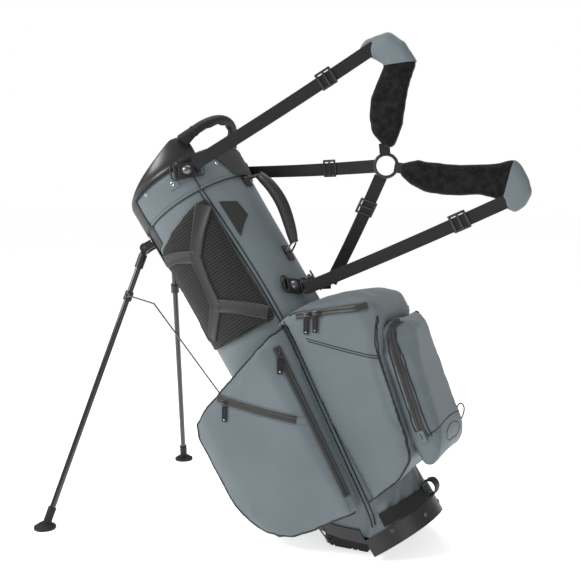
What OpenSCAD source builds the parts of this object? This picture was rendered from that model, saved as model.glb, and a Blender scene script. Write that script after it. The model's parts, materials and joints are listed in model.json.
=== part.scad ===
// Golf stand bag with fold-out legs, hinged foot, side pockets and a double shoulder harness.
// Millimetres. +Z is up, +X points from the legs towards the harness and the pockets.
// The origin is the centre of the foot's flat underside. The bag is drawn along its own
// axis and then leaned back onto its legs.

/* [Stance] */
// Lean of the bag from the vertical while it stands on its legs
lean = 33.6; // [30:0.2:38]
// Length of a leg from its pivot to the ground
leg_len = 610; // [560:5:660]
// Distance of each foot from the bag's middle plane
foot_spread = 259; // [200:1:300]

/* [Tube] */
// Radius of the tube at its lower end
tube_r_base = 115; // [100:1:140]
// Radius of the tube under the cuff
tube_r_top = 121; // [105:1:146]
// Thickness of the tube's wall
tube_wall = 3; // [2:0.5:5]
// Height of the seam where the cuff starts, along the bag
cuff_low = 776; // [700:1:900]
// Height of the cuff band
cuff_band = 62; // [45:1:80]
// Thickness of the cuff band
cuff_wall = 4; // [3:0.5:6]

/* [Top] */
// Height of the moulded rim ring
rim_h = 10; // [8:1:16]
// Rise of the rim's side walls at the handle
crown_rise = 47; // [30:1:60]
// Radius of the handle's grip
grip_r = 11; // [9:0.5:13]
// Thickness of the divider's bars
divider_t = 4; // [3:0.5:6]

/* [Legs] */
// Distance of the leg pivots from the tube's axis, towards the legs
pivot_out = 138; // [134:1:146]
// Distance of each leg pivot from the bag's middle plane
pivot_side = 52; // [44:1:60]
// Height of the leg pivots along the bag
pivot_w = 765; // [720:1:775]
// Diameter of a leg tube
leg_d = 12; // [10:0.5:14]
// Distance of the rod's collar from the leg pivot
collar_at = 107; // [95:1:120]
// Diameter of the steel push rods
rod_d = 3.2; // [2.5:0.1:4]
// Diameter of a leg's rubber foot on the ground
boot_d = 44; // [36:1:50]

/* [Foot] */
// Height of the foot's hinge pin over the ground
hinge_h = 10; // [10:0.5:12]
// Thickness of the hinged foot
foot_t = 28; // [24:1:30]
// Length of the hinged foot from the pin to its toe
foot_l = 110; // [90:1:115]
// Half of the hinged foot's width
foot_hw = 85; // [70:1:92]
// Radius of the hinge pins
pin_r = 3; // [2.5:0.1:4]
// Gap between a pin and the bore that turns on it
pin_gap = 0.05; // [0.02:0.01:0.1]

/* [Pockets] */
// Depth of a side pocket outside the tube
pocket_deep = 42; // [30:1:60]
// Reach of a side pocket past the tube, towards the legs
pocket_reach = 82; // [60:1:95]
// Height of a side pocket's upper end
pocket_top = 456; // [430:1:480]
// Height of a side pocket's lower end
pocket_low = 92; // [85:1:110]
// Half of the width of the cooler pocket
cooler_hw = 100; // [85:1:110]
// Reach of the cooler pocket past the tube, at its top
cooler_reach = 140; // [120:1:160]
// Half of the width of the ball pocket
ball_hw = 86; // [70:1:92]
// Depth of the ball pocket in front of the cooler pocket
ball_deep = 36; // [35:1:60]
// Width of a zip's tape
zip_w = 18; // [14:1:22]

/* [Harness] */
// Width of the webbing
web_w = 25; // [20:1:30]
// Thickness of the webbing
web_t = 2; // [1.5:0.1:3]
// Thickness of a shoulder pad
pad_t = 14; // [10:1:20]
// Radius of the harness ring, to the middle of its wire
ring_r = 23; // [20:1:28]
// Radius of a hub's press button
button_r = 9; // [7:0.5:11]
// Travel of a hub's press button
button_travel = 2; // [1:0.5:3]

/* [Hidden] */
$fn = 64;
near = -1;
far = 1;
gap = 0.3;
huge = 1200;

// Colours
slate = [0.41, 0.46, 0.49];
black = [0.09, 0.09, 0.1];
web = [0.13, 0.13, 0.14];
steel = [0.75, 0.76, 0.78];
grey = [0.3, 0.31, 0.33];

// The bag's own frame is leaned back about the foot's hinge pin
foot_mid = foot_l / 2 + 2;
function to_row(p) = [foot_mid + p.x * cos(lean) - (p.z - hinge_h) * sin(lean), p.y,
    hinge_h + p.x * sin(lean) + (p.z - hinge_h) * cos(lean)];
module stand() {
    translate([foot_mid, 0, hinge_h])
        rotate([0, -lean, 0])
            translate([0, 0, -hinge_h])
                children();
}
// Everything of the bag's frame that lies above a level over the ground
module above_ground(level) {
    translate([0, 0, hinge_h])
        rotate([0, lean, 0])
            translate([-huge / 2, -huge / 2, level - hinge_h])
                cube([huge, huge, huge]);
}

function unit(v) = v / norm(v);
function tube_r(w) = tube_r_base + (tube_r_top - tube_r_base) * w / cuff_low;
function turn(v, axis, a) = v * cos(a) + cross(axis, v) * sin(a) + axis * (axis * v) * (1 - cos(a));

// A frame at point p whose Z is z and whose Y lies close to y
module frame(p, z, y) {
    zz = unit(z);
    xx = unit(cross(y, zz));
    yy = cross(zz, xx);
    multmatrix([[xx.x, yy.x, zz.x, p.x], [xx.y, yy.y, zz.y, p.y], [xx.z, yy.z, zz.z, p.z],
        [0, 0, 0, 1]])
        children();
}
// A frame on the tube: X runs down the bag, Y around it, Z outwards
module on_tube(angle, w, r) {
    rotate([0, 0, angle])
        translate([r, 0, w])
            rotate([0, 90, 0])
                children();
}
module both() {
    children();
    mirror([0, 1, 0])
        children();
}
module side_of(s) {
    if (s == near) children();
    else mirror([0, 1, 0]) children();
}
// A tapered tube between two heights, measured from its outer face
module sleeve(w0, w1, grow_out, wall) {
    ro0 = tube_r(w0) + grow_out;
    ro1 = tube_r(w1) + grow_out;
    rotate_extrude()
        polygon([[ro0 - wall, w0], [ro0, w0], [ro1, w1], [ro1 - wall, w1]]);
}
module solid_tube(grow) {
    cylinder(h = cuff_low, r1 = tube_r_base + grow, r2 = tube_r_top + grow);
}
// A straight flat strip from p to q, width across the line of sight named by face
module strip(p, q, face, width, thick) {
    frame(p, q - p, face)
        translate([-width / 2, -thick / 2, 0])
            cube([width, thick, norm(q - p)]);
}

// ---------------------------------------------------------------- tube and top
rim_w = cuff_low + cuff_band;
cup_floor = 8;
cup_wall = 3;
cup_h = 34;
cut_level = foot_t + 3;

module tube_shell() {
    color(slate)
        intersection() {
            sleeve(cup_floor + 0.2, rim_w, 0, tube_wall);
            above_ground(cut_level + cup_floor + 0.2);
        }
}
module top_cuff() {
    color(slate)
        rotate_extrude()
            polygon([[tube_r(cuff_low) + 0.2, cuff_low], [tube_r(cuff_low) + 2.5, cuff_low],
                [tube_r(rim_w) + cuff_wall + 1, rim_w], [tube_r(rim_w) + 0.2, rim_w]]);
}
cuff_out = tube_r(rim_w) + cuff_wall + 1.2;
rim_out = tube_r(rim_w) + 7;
rim_in = tube_r(rim_w) - 5;
handle_end_x = 92;
module top_rim() {
    color(black) {
        translate([0, 0, rim_w])
            rotate_extrude()
                polygon([[rim_in, 0], [rim_out - 1, 0], [rim_out, 2], [rim_out - 1, rim_h - 2],
                    [rim_out - 4, rim_h], [rim_in + 2, rim_h], [rim_in, rim_h - 2]]);
        crowns();
    }
}
// The raised side walls that carry the lift handle
module crowns() {
    intersection() {
        translate([0, 0, rim_w + 1])
            rotate_extrude()
                polygon([[rim_in + 1, 0], [rim_out - 1, 0], [rim_out - 6, crown_rise + rim_h],
                    [rim_in, crown_rise + rim_h]]);
        translate([0, huge / 2, 0])
            rotate([90, 0, 0])
                linear_extrude(huge)
                    polygon([[-78, rim_w + 2], [handle_end_x, rim_w + 2],
                        [handle_end_x, rim_w + rim_h + crown_rise - 4],
                        [handle_end_x - 14, rim_w + rim_h + crown_rise - 4]]);
    }
}
hoop_r = 106;
hoop_x = 44;
hoop_half = acos((handle_end_x - hoop_x) / hoop_r);
hoop_tilt = 19;
hoop_w = rim_w + 26;
module lift_handle() {
    color(black)
        difference() {
            translate([hoop_x, 0, hoop_w])
                rotate([0, -hoop_tilt, 0])
                    rotate([0, 0, -hoop_half - 3])
                        rotate_extrude(angle = 2 * hoop_half + 6)
                            translate([hoop_r, 0])
                                circle(r = grip_r, $fn = 32);
            translate([-huge + handle_end_x + 0.1, -huge / 2, rim_w])
                cube([huge, huge, crown_rise * 3]);
        }
}
divider_h = 34;
divider_off = 38;
module club_divider() {
    color(black)
        translate([0, 0, rim_w + rim_h - divider_h - 4])
            intersection() {
                cylinder(h = divider_h, r = rim_in - 0.1);
                union() {
                    for (x = [-divider_off, divider_off])
                        translate([x - divider_t / 2, -huge / 2, 0])
                            cube([divider_t, huge, divider_h]);
                    translate([-huge / 2, -divider_t / 2, 0])
                        cube([huge, divider_t, divider_h]);
                }
            }
}
stay_r = 4;
stay_in = tube_r_base - tube_wall - stay_r - 1;
module support_stays() {
    color(steel)
        for (a = [60, 180, 300])
            rotate([0, 0, a])
                translate([stay_in, 0, a == 180 ? 130 : 100])
                    cylinder(h = rim_w - divider_h - (a == 180 ? 130 : 100), r = stay_r, $fn = 24);
}

// ---------------------------------------------------------------- base
cup_r = tube_r_base + cup_wall;
cup_x0 = 12;
lug_r = 8.5;
pin_half = 66;
lug_mid = 11;
lug_out = 54;
module base_cup() {
    color(black) {
        difference() {
            intersection() {
                solid_tube(cup_wall);
                union() {
                    translate([cup_x0, -huge / 2, 0])
                        cube([huge, huge, cup_h]);
                    difference() {
                        above_ground(cut_level);
                        above_ground(cut_level + cup_h - 10);
                    }
                }
                // keeps the harness side's wall no higher than the cup
                union() {
                    translate([-huge, -huge / 2, 0])
                        cube([huge + cup_x0, huge, huge]);
                    translate([0, -huge / 2, 0])
                        cube([huge, huge, cup_h]);
                }
            }
            intersection() {
                translate([0, 0, cup_floor])
                    cylinder(h = huge, r1 = tube_r(cup_floor) + 0.1, r2 = tube_r(cup_floor + huge) + 0.1);
                above_ground(cut_level + cup_floor);
            }
        }
        for (y = [[-lug_mid, lug_mid], [lug_out, pin_half], [-pin_half, -lug_out]])
            base_lug(y[0], y[1]);
    }
}
module base_lug(y0, y1) {
    difference() {
        union() {
            translate([0, y1, hinge_h])
                rotate([90, 0, 0])
                    cylinder(h = y1 - y0, r = lug_r);
            translate([-2, y0, hinge_h - 5])
                cube([cup_x0 + 4, y1 - y0, 10]);
        }
        translate([0, y1 + 1, hinge_h])
            rotate([90, 0, 0])
                cylinder(h = y1 - y0 + 2, r = pin_r);
        above_ground(cut_level);
    }
}
base_screws = [[-58, 26], [58, 26], [-20, 17], [20, 17]];
module base_rivets() {
    color(steel)
        for (s = base_screws)
            on_tube(s[0], s[1], tube_r(s[1]) + cup_wall + 0.1)
                screw_head(4.5);
}
module screw_head(r) {
    difference() {
        cylinder(h = 1.6, r1 = r, r2 = r - 1, $fn = 24);
        translate([0, 0, 0.8])
            cube([0.9, 1.2 * r, 2], center = true);
        translate([0, 0, 0.8])
            cube([1.2 * r, 0.9, 2], center = true);
    }
}
strap_level = 36;
grab_band = 24;
grab_reach = 22;
module grab_strap() {
    r = tube_r(strap_level) + 0.2;
    color(web) {
        intersection() {
            translate([0, 0, strap_level])
                rotate_extrude()
                    polygon([[r, 0], [r + 2.5, 0], [r + 3.1, grab_band], [r + 0.5, grab_band]]);
            translate([r * cos(62), -huge / 2, 0])
                cube([huge, huge, huge]);
        }
        translate([r + 3.2, 0, strap_level + 1])
            for (b = [[0, 0, 2.5, 30], [grab_reach, 4, 2.5, 26], [0, 27.5, grab_reach + 2.5, 2.5],
                [0, 4, grab_reach + 2.5, 2.5]])
                translate([b[0], -web_w / 2, b[1]])
                    cube([b[2], web_w, b[3]]);
    }
}

// ---------------------------------------------------------------- hinged foot
toe_r = 34;
heel_x = 10;
heel_toe = 6;
module foot_plan(inset) {
    x0 = foot_l - inset;
    y0 = foot_hw - inset;
    translate([foot_mid, 0])
        union() {
            translate([-x0 + toe_r, -y0])
                square([x0 - toe_r - heel_x - inset, 2 * y0]);
            translate([-x0, -y0 + toe_r])
                square([toe_r + 1, 2 * y0 - 2 * toe_r]);
            for (s = [-1, 1])
                translate([-x0 + toe_r, s * (y0 - toe_r)])
                    circle(r = toe_r);
        }
}
tread_t = 4;
module foot_flap() {
    color(black)
        difference() {
            union() {
                translate([0, 0, tread_t])
                    linear_extrude(foot_t - tread_t)
                        foot_plan(0);
                for (s = [-1, 1])
                    translate([foot_mid, 0, 0])
                        mirror([0, s < 0 ? 1 : 0, 0])
                            knuckle_half();
            }
            translate([foot_mid, 0, hinge_h])
                rotate([90, 0, 0])
                    cylinder(h = 4 * foot_hw, r = pin_r + pin_gap, center = true);
            // a shallow well that lightens the top
            translate([foot_mid - foot_l + 22, -foot_hw + 22, foot_t - 8])
                cube([foot_l - heel_x - 40, 2 * foot_hw - 44, 9]);
        }
}
module knuckle_half() {
    y0 = lug_mid + 0.5;
    y1 = lug_out - 0.5;
    translate([0, y1, hinge_h])
        rotate([90, 0, 0])
            cylinder(h = y1 - y0, r = lug_r);
    translate([-heel_x, y0, 0])
        cube([heel_x + heel_toe, y1 - y0, hinge_h - 1]);
    translate([-heel_x - 2, y0, tread_t])
        cube([4, y1 - y0, hinge_h - 1 - tread_t]);
}
module foot_tread() {
    color(grey)
        difference() {
            linear_extrude(tread_t)
                foot_plan(1.5);
            // grooves across the sole, clear of its middle
            for (x = [-36, -24, 14, 26])
                translate([x - 2, -foot_hw, -1])
                    cube([4, 2 * foot_hw, 3]);
        }
}
module pivot_pins() {
    color(steel) {
        stand()
            translate([0, 0, hinge_h])
                rotate([90, 0, 0])
                    cylinder(h = 2 * pin_half, r = pin_r, center = true);
        for (s = [near, far])
            leg_frame(s)
                rotate([90, 0, 0])
                    cylinder(h = 2 * ear_out, r = pin_r, center = true);
    }
}

// ---------------------------------------------------------------- legs
function pivot(s) = to_row([-pivot_out, s * pivot_side, pivot_w]);
drop = pivot(near).z;
sideways = foot_spread - pivot_side;
function ground(s) = [pivot(s).x - sqrt(leg_len * leg_len - drop * drop - sideways * sideways),
    s * foot_spread, 0];
function leg_dir(s) = unit(ground(s) - pivot(s));
stowed = [sin(lean), 0, -cos(lean)];
function leg_axis(s) = unit(cross(leg_dir(s), stowed));
leg_fold = acos(leg_dir(near) * stowed);
// A frame at the leg's pivot: Z down the leg, Y along the pivot pin
module leg_frame(s) {
    frame(pivot(s), leg_dir(s), leg_axis(s))
        children();
}
ear_in = 6.5;
ear_out = 11.5;
ear_r = 10;
eye_half = 6;
bag_out = [cos(lean), 0, sin(lean)];
function ear_turn(s) = atan2(bag_out * cross(leg_axis(s), leg_dir(s)), bag_out * leg_dir(s));
module leg_bracket() {
    color(black) {
        difference() {
            stand()
                intersection() {
                    sleeve(pivot_w - 62, cuff_low - 0.5, 4.6, 4.4);
                    translate([-huge, -huge / 2, 0])
                        cube([huge - 96, huge, huge]);
                }
            for (s = [near, far])
                leg_frame(s)
                    rotate([90, 0, 0])
                        cylinder(h = 60, r = 14, center = true);
        }
        for (s = [near, far])
            leg_frame(s)
                for (y = [ear_in, -ear_out])
                    translate([0, y, 0])
                        ear(s);
    }
}
module ear(s) {
    difference() {
        union() {
            translate([0, ear_out - ear_in, 0])
                rotate([90, 0, 0])
                    cylinder(h = ear_out - ear_in, r = ear_r);
            rotate([0, ear_turn(s), 0])
                translate([-ear_r + 1, 0, 0])
                    cube([2 * ear_r - 2, ear_out - ear_in, 24]);
        }
        translate([0, 20, 0])
            rotate([90, 0, 0])
                cylinder(h = 40, r = pin_r);
    }
}
knuckle_l = 44;
leg_start = 22;
module leg_knuckle(s) {
    color(black)
        leg_frame(s)
            difference() {
                union() {
                    rotate([90, 0, 0])
                        cylinder(h = 2 * eye_half, r = 9, center = true);
                    translate([-6, -eye_half, 0])
                        cube([12, 2 * eye_half, 16]);
                    translate([0, 0, 14])
                        cylinder(h = knuckle_l - 14, r = leg_d / 2 + 3);
                }
                rotate([90, 0, 0])
                    cylinder(h = 40, r = pin_r + pin_gap, center = true);
                translate([0, 0, leg_start])
                    cylinder(h = knuckle_l, r = leg_d / 2);
            }
}
boot_h = 34;
leg_end = leg_len - 16;
module leg_tube(s) {
    color(black)
        leg_frame(s)
            difference() {
                translate([0, 0, leg_start])
                    cylinder(h = leg_end - leg_start, r = leg_d / 2);
                translate([0, 0, leg_start - 1])
                    cylinder(h = leg_end - leg_start + 2, r = leg_d / 2 - 1.4);
            }
}
collar_r = leg_d / 2 + 3;
collar_h = 20;
stud_r = 2;
rod_eye = 13;
module leg_collar(s) {
    color(black) {
        leg_frame(s)
            difference() {
                translate([0, 0, collar_at - collar_h / 2])
                    cylinder(h = collar_h, r = collar_r);
                cylinder(h = leg_len, r = leg_d / 2);
            }
        frame(eye_at(s) - rod_axis(s) * (rod_eye - leg_d / 2 - 0.6), rod_axis(s), leg_dir(s))
            cylinder(h = rod_eye + 3.4 - leg_d / 2, r = stud_r);
        frame(eye_at(s) + rod_axis(s) * 2.2, rod_axis(s), leg_dir(s))
            cylinder(h = 1.6, r = stud_r + 1);
    }
}
module leg_boot(s) {
    g = ground(s);
    color(black)
        difference() {
            union() {
                translate([g.x, g.y, 0])
                    cylinder(h = 5, r = boot_d / 2);
                translate([g.x, g.y, 5])
                    cylinder(h = 7, r1 = boot_d / 2, r2 = boot_d / 4);
                frame(g - leg_dir(s) * 10, -leg_dir(s), [0, 1, 0])
                    cylinder(h = boot_h, r = leg_d / 2 + 2.5);
            }
            leg_frame(s)
                cylinder(h = leg_end, r = leg_d / 2);
            translate([-huge, -huge / 2, -huge])
                cube([2 * huge, huge, huge]);
        }
}

// ---------------------------------------------------------------- push rods
// Each rod turns on a stud of its leg's collar and pushes against the hinged foot
rod_hook = 87;
rod_side = 100;
// A bend of the rod is a little thicker than its straights
bend_swell = 0.2;
function rod_foot(s) = [foot_mid - rod_hook, s * rod_side, 14];
function rod_foot_stowed(s) = to_row([-rod_hook, s * rod_side, 14]);
// The rod turns so that its lower end stays on the foot when the legs are stowed
function eye_at(s) = pivot(s) + leg_dir(s) * collar_at - leg_axis(s) * (s * rod_eye);
function eye_stowed(s) = pivot(s) + turn(eye_at(s) - pivot(s), leg_axis(s), leg_fold);
function rod_now(s) = rod_foot(s) - eye_at(s);
function rod_then(s) = turn(rod_foot_stowed(s) - eye_stowed(s), leg_axis(s), -leg_fold);
// The rod's turning axis, pointing away from the bag's middle plane. Its cant keeps the
// bent rod clear of the tube and the pockets all the way.
rod_cant = 7.8;
function rod_axis(s) = unit(cross(rod_now(s), rod_then(s))) * s * cos(rod_cant)
    - unit(unit(rod_now(s)) + unit(rod_then(s))) * sin(rod_cant);
// The rod bends outwards under its collar and back in behind the side pocket
function rod_points(s) = [eye_at(s), to_row([-pivot_out + 2, s * (rod_side + 28), pivot_w - 128]),
    to_row([-pivot_out + 33, s * (rod_side - 16), pocket_low + 146]), rod_foot(s) + [0, 0, 3],
    rod_foot(s) + [0, -s * (rod_side - foot_hw - 2), 0]];
module push_rod(s) {
    pts = rod_points(s);
    start = unit(pts[1] - pts[0]);
    color(steel) {
        difference() {
            frame(eye_at(s) - rod_axis(s) * (rod_d / 2), rod_axis(s), leg_dir(s))
                cylinder(h = rod_d, r = stud_r + 3.2);
            frame(eye_at(s) - rod_axis(s) * 10, rod_axis(s), leg_dir(s))
                cylinder(h = 20, r = stud_r + pin_gap);
        }
        rod_piece(pts[0] + start * (stud_r + 2.4), pts[1]);
        for (i = [1:3])
            rod_piece(pts[i], pts[i + 1]);
        for (i = [1:3])
            translate(pts[i])
                sphere(r = rod_d / 2 + bend_swell, $fn = 24);
    }
}
module rod_piece(p, q) {
    frame(p, q - p, [0, 1, 0.2])
        cylinder(h = norm(q - p), r = rod_d / 2, $fn = 24);
}

// ---------------------------------------------------------------- pockets
// Plan of a side pocket, looking down the bag, on the near side. Its two flat faces
// run from the knee to the brow and from the brow to the heel.
pocket_v = tube_r_base + pocket_deep;
pocket_u = tube_r_base + pocket_reach;
knee = [64, -126];
brow = [30, -pocket_v + 8];
heel = [-pocket_u + 50, -pocket_v];
module pocket_plan(shift) {
    translate([0, -shift])
        polygon([[79, -86], [78, -96], knee, brow, heel, [-pocket_u + 8, -pocket_v + 10],
            [-pocket_u, -pocket_v + 26], [-pocket_u + 12, -pocket_v + 42],
            [-60, -pocket_v + 44], [-40, -90], [0, -60]]);
}
// The line where a side pocket meets the cooler pocket, seen from the side
seam_top = [82, pocket_top + 4];
seam_low = [42, pocket_low - 6];
seam_gap = 0.6;
// Face of a side pocket, seen from the side
module pocket_face() {
    polygon([seam_top, [40, pocket_top - 8], [-10, pocket_top - 20],
        [-70, pocket_top - 34], [-130, pocket_top - 52], [-pocket_u + 20, pocket_top - 72],
        [-pocket_u + 4, pocket_top - 100], [-pocket_u, pocket_low + 200],
        [-pocket_u, pocket_low + 130], [-pocket_u + 10, pocket_low + 92],
        [-pocket_u + 34, pocket_low + 54], [-pocket_u + 66, pocket_low + 22],
        [-pocket_u + 100, pocket_low + 6], [-60, pocket_low], seam_low]);
}
module through_side() {
    rotate([90, 0, 0])
        linear_extrude(huge / 2)
            children();
}
module side_pocket(s) {
    color(slate)
        stand()
            side_of(s)
                difference() {
                    intersection() {
                        linear_extrude(huge)
                            pocket_plan(0);
                        through_side()
                            pocket_face();
                    }
                    solid_tube(gap);
                    intersection() {
                        solid_tube(cup_wall + gap);
                        cup_room();
                    }
                }
}
// The part of the bag's lower end that the cup covers
module cup_room() {
    difference() {
        translate([-huge / 2, -huge / 2, 0])
            cube([huge, huge, huge / 2]);
        above_ground(cut_level + cup_h - 10 + gap);
    }
}
// A slanted band over the pocket's face, between two points of the face
module face_band(p, q, width) {
    d = unit(q - p);
    n = [-d.y, d.x];
    polygon([p + n * width / 2, q + n * width / 2, q - n * width / 2, p - n * width / 2]);
}
main_zip = [[58, pocket_top - 34], [37, pocket_low + 38]];
small_zip = [[-92, pocket_top - 61], [26, pocket_low + 196]];
tape_t = 1.2;
module pocket_tape(line) {
    intersection() {
        difference() {
            linear_extrude(huge)
                pocket_plan(tape_t);
            linear_extrude(huge)
                pocket_plan(0.02);
        }
        through_side()
            face_band(line[0], line[1], zip_w);
    }
}
cooler_top = 470;
cooler_front = tube_r_base + cooler_reach;
lid_drop = 14;
lid_side = 50;
module cooler_side() {
    polygon([[60, cooler_top], [130, cooler_top + 8], [cooler_front - 20, cooler_top - 38],
        [cooler_front, cooler_top - 64], [cooler_front - 4, cooler_top - 96],
        [cooler_front - 34, cooler_top - 158], [cooler_front - 72, 158],
        [cooler_front - 92, 118], [cooler_front - 134, 94], [40, 86]]);
}
module cooler_plan(y) {
    polygon([[42, -y - 8], [70, -y - 1], [100, -y], [cooler_front - 26, -y],
        [cooler_front - 4, -y + 10], [cooler_front + 2, -y + 26], [cooler_front + 2, y - 26],
        [cooler_front - 4, y - 10], [cooler_front - 26, y], [100, y], [70, y + 1], [42, y + 8]]);
}
module cooler_pocket() {
    color(slate)
        difference() {
            intersection() {
                translate([0, huge / 2, 0])
                    rotate([90, 0, 0])
                        linear_extrude(huge)
                            cooler_side();
                linear_extrude(huge)
                    cooler_plan(cooler_hw);
            }
            // the side pockets' room
            translate([seam_gap, huge / 2, 0])
                rotate([90, 0, 0])
                    linear_extrude(huge)
                        polygon([seam_top, seam_low, [seam_low.x, 0], [0, 0],
                            [0, pocket_top + 5], [seam_top.x, pocket_top + 5]]);
            // the lid slopes down to both sides
            for (s = [-1, 1])
                translate([130, s * cooler_hw, cooler_top + 8 - lid_drop])
                    rotate([0, atan(46 / (cooler_reach - 35)), 0])
                        rotate([-s * atan(lid_drop / lid_side), 0, 0])
                            translate([-huge / 2, -huge / 2, 0])
                                cube([huge, huge, huge]);
            solid_tube(gap);
            intersection() {
                translate([0, huge / 2, 0])
                    rotate([90, 0, 0])
                        linear_extrude(huge)
                            ball_side();
                linear_extrude(huge)
                    ball_plan();
            }
        }
}
module ball_side() {
    x = cooler_front - 2;
    polygon([[x - 14, cooler_top - 112], [x + ball_deep * 0.4, cooler_top - 108],
        [x + ball_deep - 12, cooler_top - 118], [x + ball_deep - 8, cooler_top - 136],
        [x + ball_deep - 30, cooler_top - 205], [x + ball_deep - 62, 130], [x + ball_deep - 76, 104],
        [x + ball_deep - 96, 92], [x - 76, 96], [x - 78, 158], [x - 40, cooler_top - 158]]);
}
module ball_plan() {
    x = cooler_front + ball_deep;
    polygon([[100, -ball_hw], [x - 74, -ball_hw], [x - 34, -ball_hw + 8], [x - 12, -ball_hw + 34],
        [x, -20], [x, 20], [x - 12, ball_hw - 34], [x - 34, ball_hw - 8], [x - 74, ball_hw],
        [100, ball_hw]]);
}
module ball_pocket() {
    color(slate)
        intersection() {
            translate([0, huge / 2, 0])
                rotate([90, 0, 0])
                    linear_extrude(huge)
                        ball_side();
            linear_extrude(huge)
                ball_plan();
        }
}
cooler_zip_p = [128, -cooler_hw - tape_t, cooler_top - 18];
cooler_zip_q = [cooler_front - 34, -cooler_hw - tape_t, cooler_top - 52];
module zip_tapes() {
    color(black) {
        both()
            for (line = [main_zip, small_zip])
                pocket_tape(line);
        both()
            translate([0, -cooler_hw - 0.02, 0])
                rotate([90, 0, 0])
                    linear_extrude(tape_t)
                        face_band([cooler_zip_p.x, cooler_zip_p.z],
                            [cooler_zip_q.x, cooler_zip_q.z], 10);
    }
}

// ---------------------------------------------------------------- zip sliders and pullers
slider_l = 16;
slider_w = 9;
slider_t = 4;
puller_l = 36;
puller_w = 9;
puller_t = 3;
function face_ends(p) = p.x > brow.x ? [knee, brow] : [brow, heel];
function along_face(e, x) = e[0].y + (x - e[0].x) * (e[1].y - e[0].y) / (e[1].x - e[0].x);
function on_face(p) = [p.x, along_face(face_ends(p), p.x) - tape_t - gap, p.y];
// Outward direction of the pocket's face under a zip
function face_out(line) = let (e = face_ends(line[0]), d = unit(e[1] - e[0])) [-d.y, d.x, 0];
function zip_from(line) = on_face(line[0] + unit(line[1] - line[0]) * 12);
function zip_to(line) = on_face(line[1] - unit(line[1] - line[0]) * 12);
module zip_slider(p, q, face) {
    frame(p, q - p, face) {
        translate([-slider_w / 2, 0, -slider_l / 2])
            cube([slider_w, slider_t, slider_l]);
        translate([0, slider_t, 0])
            rotate([-90, 0, 0])
                cylinder(h = 3.4 + puller_t, r = 1.5, $fn = 24);
        translate([0, slider_t + 3.8 + puller_t - 0.8, 0])
            rotate([-90, 0, 0])
                cylinder(h = 1.2, r = 2.6, $fn = 24);
    }
}
// Hangs down from the slider's post along the face, with the bag standing on its legs
module zip_puller(p, face) {
    frame(p, down_on(face), face)
        translate([0, slider_t + 0.4, 0])
            difference() {
                union() {
                    translate([-puller_w / 2, 0, 0])
                        cube([puller_w, puller_t, puller_l - puller_w / 2]);
                    translate([0, puller_t, 0])
                        rotate([90, 0, 0])
                            cylinder(h = puller_t, r = puller_w / 2, $fn = 32);
                    translate([0, puller_t, puller_l - puller_w / 2])
                        rotate([90, 0, 0])
                            cylinder(h = puller_t, r = puller_w / 2, $fn = 32);
                }
                translate([0, puller_t + 1, 0])
                    rotate([90, 0, 0])
                        cylinder(h = puller_t + 2, r = 1.5 + pin_gap, $fn = 32);
            }
}
module pocket_slider(line, s) {
    color(black)
        stand()
            side_of(s)
                zip_slider(zip_from(line), zip_to(line), face_out(line));
}
module pocket_puller(line, s) {
    color(black)
        side_of(s)
            zip_puller(to_row(zip_from(line)), row_dir(face_out(line)));
}
function row_dir(d) = [d.x * cos(lean) - d.z * sin(lean), d.y, d.x * sin(lean) + d.z * cos(lean)];
// Straight down along a face
function down_on(n) = unit([0, 0, -1] + n * n.z);
cooler_dir = unit(cooler_zip_q - cooler_zip_p);
cooler_a = cooler_zip_p + cooler_dir * 8 - [0, gap, 0];
cooler_b = cooler_a + cooler_dir * 19;
module cooler_zip_slider(p) {
    color(black)
        stand()
            zip_slider(p, p + cooler_dir * 10, [0, -1, 0]);
}
module cooler_zip_puller(p) {
    color(black)
        zip_puller(to_row(p), [0, -1, 0]);
}

// ---------------------------------------------------------------- trim on the tube
module hip_pad(s) {
    color(black)
        stand()
            side_of(s)
                intersection() {
                    sleeve(460, 770, 6, 5.8);
                    through_side()
                        polygon([[71, 756], [74, 740], [74, 484], [68, 476], [-20, 480],
                            [-84, 490], [-88, 505], [-84, 700], [-72, 722], [40, 752]]);
                }
}
module emblem_patch() {
    color(black)
        stand()
            intersection() {
                sleeve(640, 760, 1.2, 1);
                through_side()
                    polygon([[86, 737], [107, 724], [110, 690], [88, 655]]);
            }
}
handle_w0 = 592;
handle_w1 = 764;
handle_bulge = 50;
module carry_handle() {
    r = tube_r(700);
    color(black)
        stand() {
            translate([0, 11, 0])
                rotate([90, 0, 0])
                    linear_extrude(22)
                        polygon([[r + 22, handle_w0 + 12], [r + 32, handle_w0 + 10],
                            [r + handle_bulge, handle_w0 + 52], [r + handle_bulge + 6, handle_w0 + 92],
                            [r + handle_bulge, handle_w1 - 30], [r + 36, handle_w1 - 6],
                            [r + 24, handle_w1 - 8], [r + handle_bulge - 16, handle_w1 - 36],
                            [r + handle_bulge - 10, handle_w0 + 92],
                            [r + handle_bulge - 16, handle_w0 + 56]]);
            translate([tube_r(handle_w1) + 0.3, -9, handle_w1 - 8])
                cube([26, 18, 3]);
            translate([tube_r(handle_w0) + 0.3, -9, handle_w0 + 8])
                cube([26, 18, 3]);
            translate([tube_r(handle_w0) + 0.6, -9, handle_w0 - 10])
                cube([3, 18, 20]);
            translate([tube_r(handle_w1) + 0.3, -9, handle_w1 - 6])
                cube([3, 18, 12]);
        }
}
// Angle, height and distance from the axis of each screw of the cuff and the rim
rim_screws = [[-63, rim_w + 5, rim_out + 0.1], [-104, rim_w - 8, cuff_out], [-28, rim_w - 26, cuff_out]];
bracket_screws = [[-152, 768], [-142, 722]];
module trim_screws() {
    color(steel)
        stand()
            both() {
                for (p = rim_screws)
                    on_tube(p[0], p[1], p[2])
                        screw_head(4);
                for (p = bracket_screws)
                    on_tube(p[0], p[1], tube_r(p[1]) + 4.7)
                        screw_head(3.5);
            }
}

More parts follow.
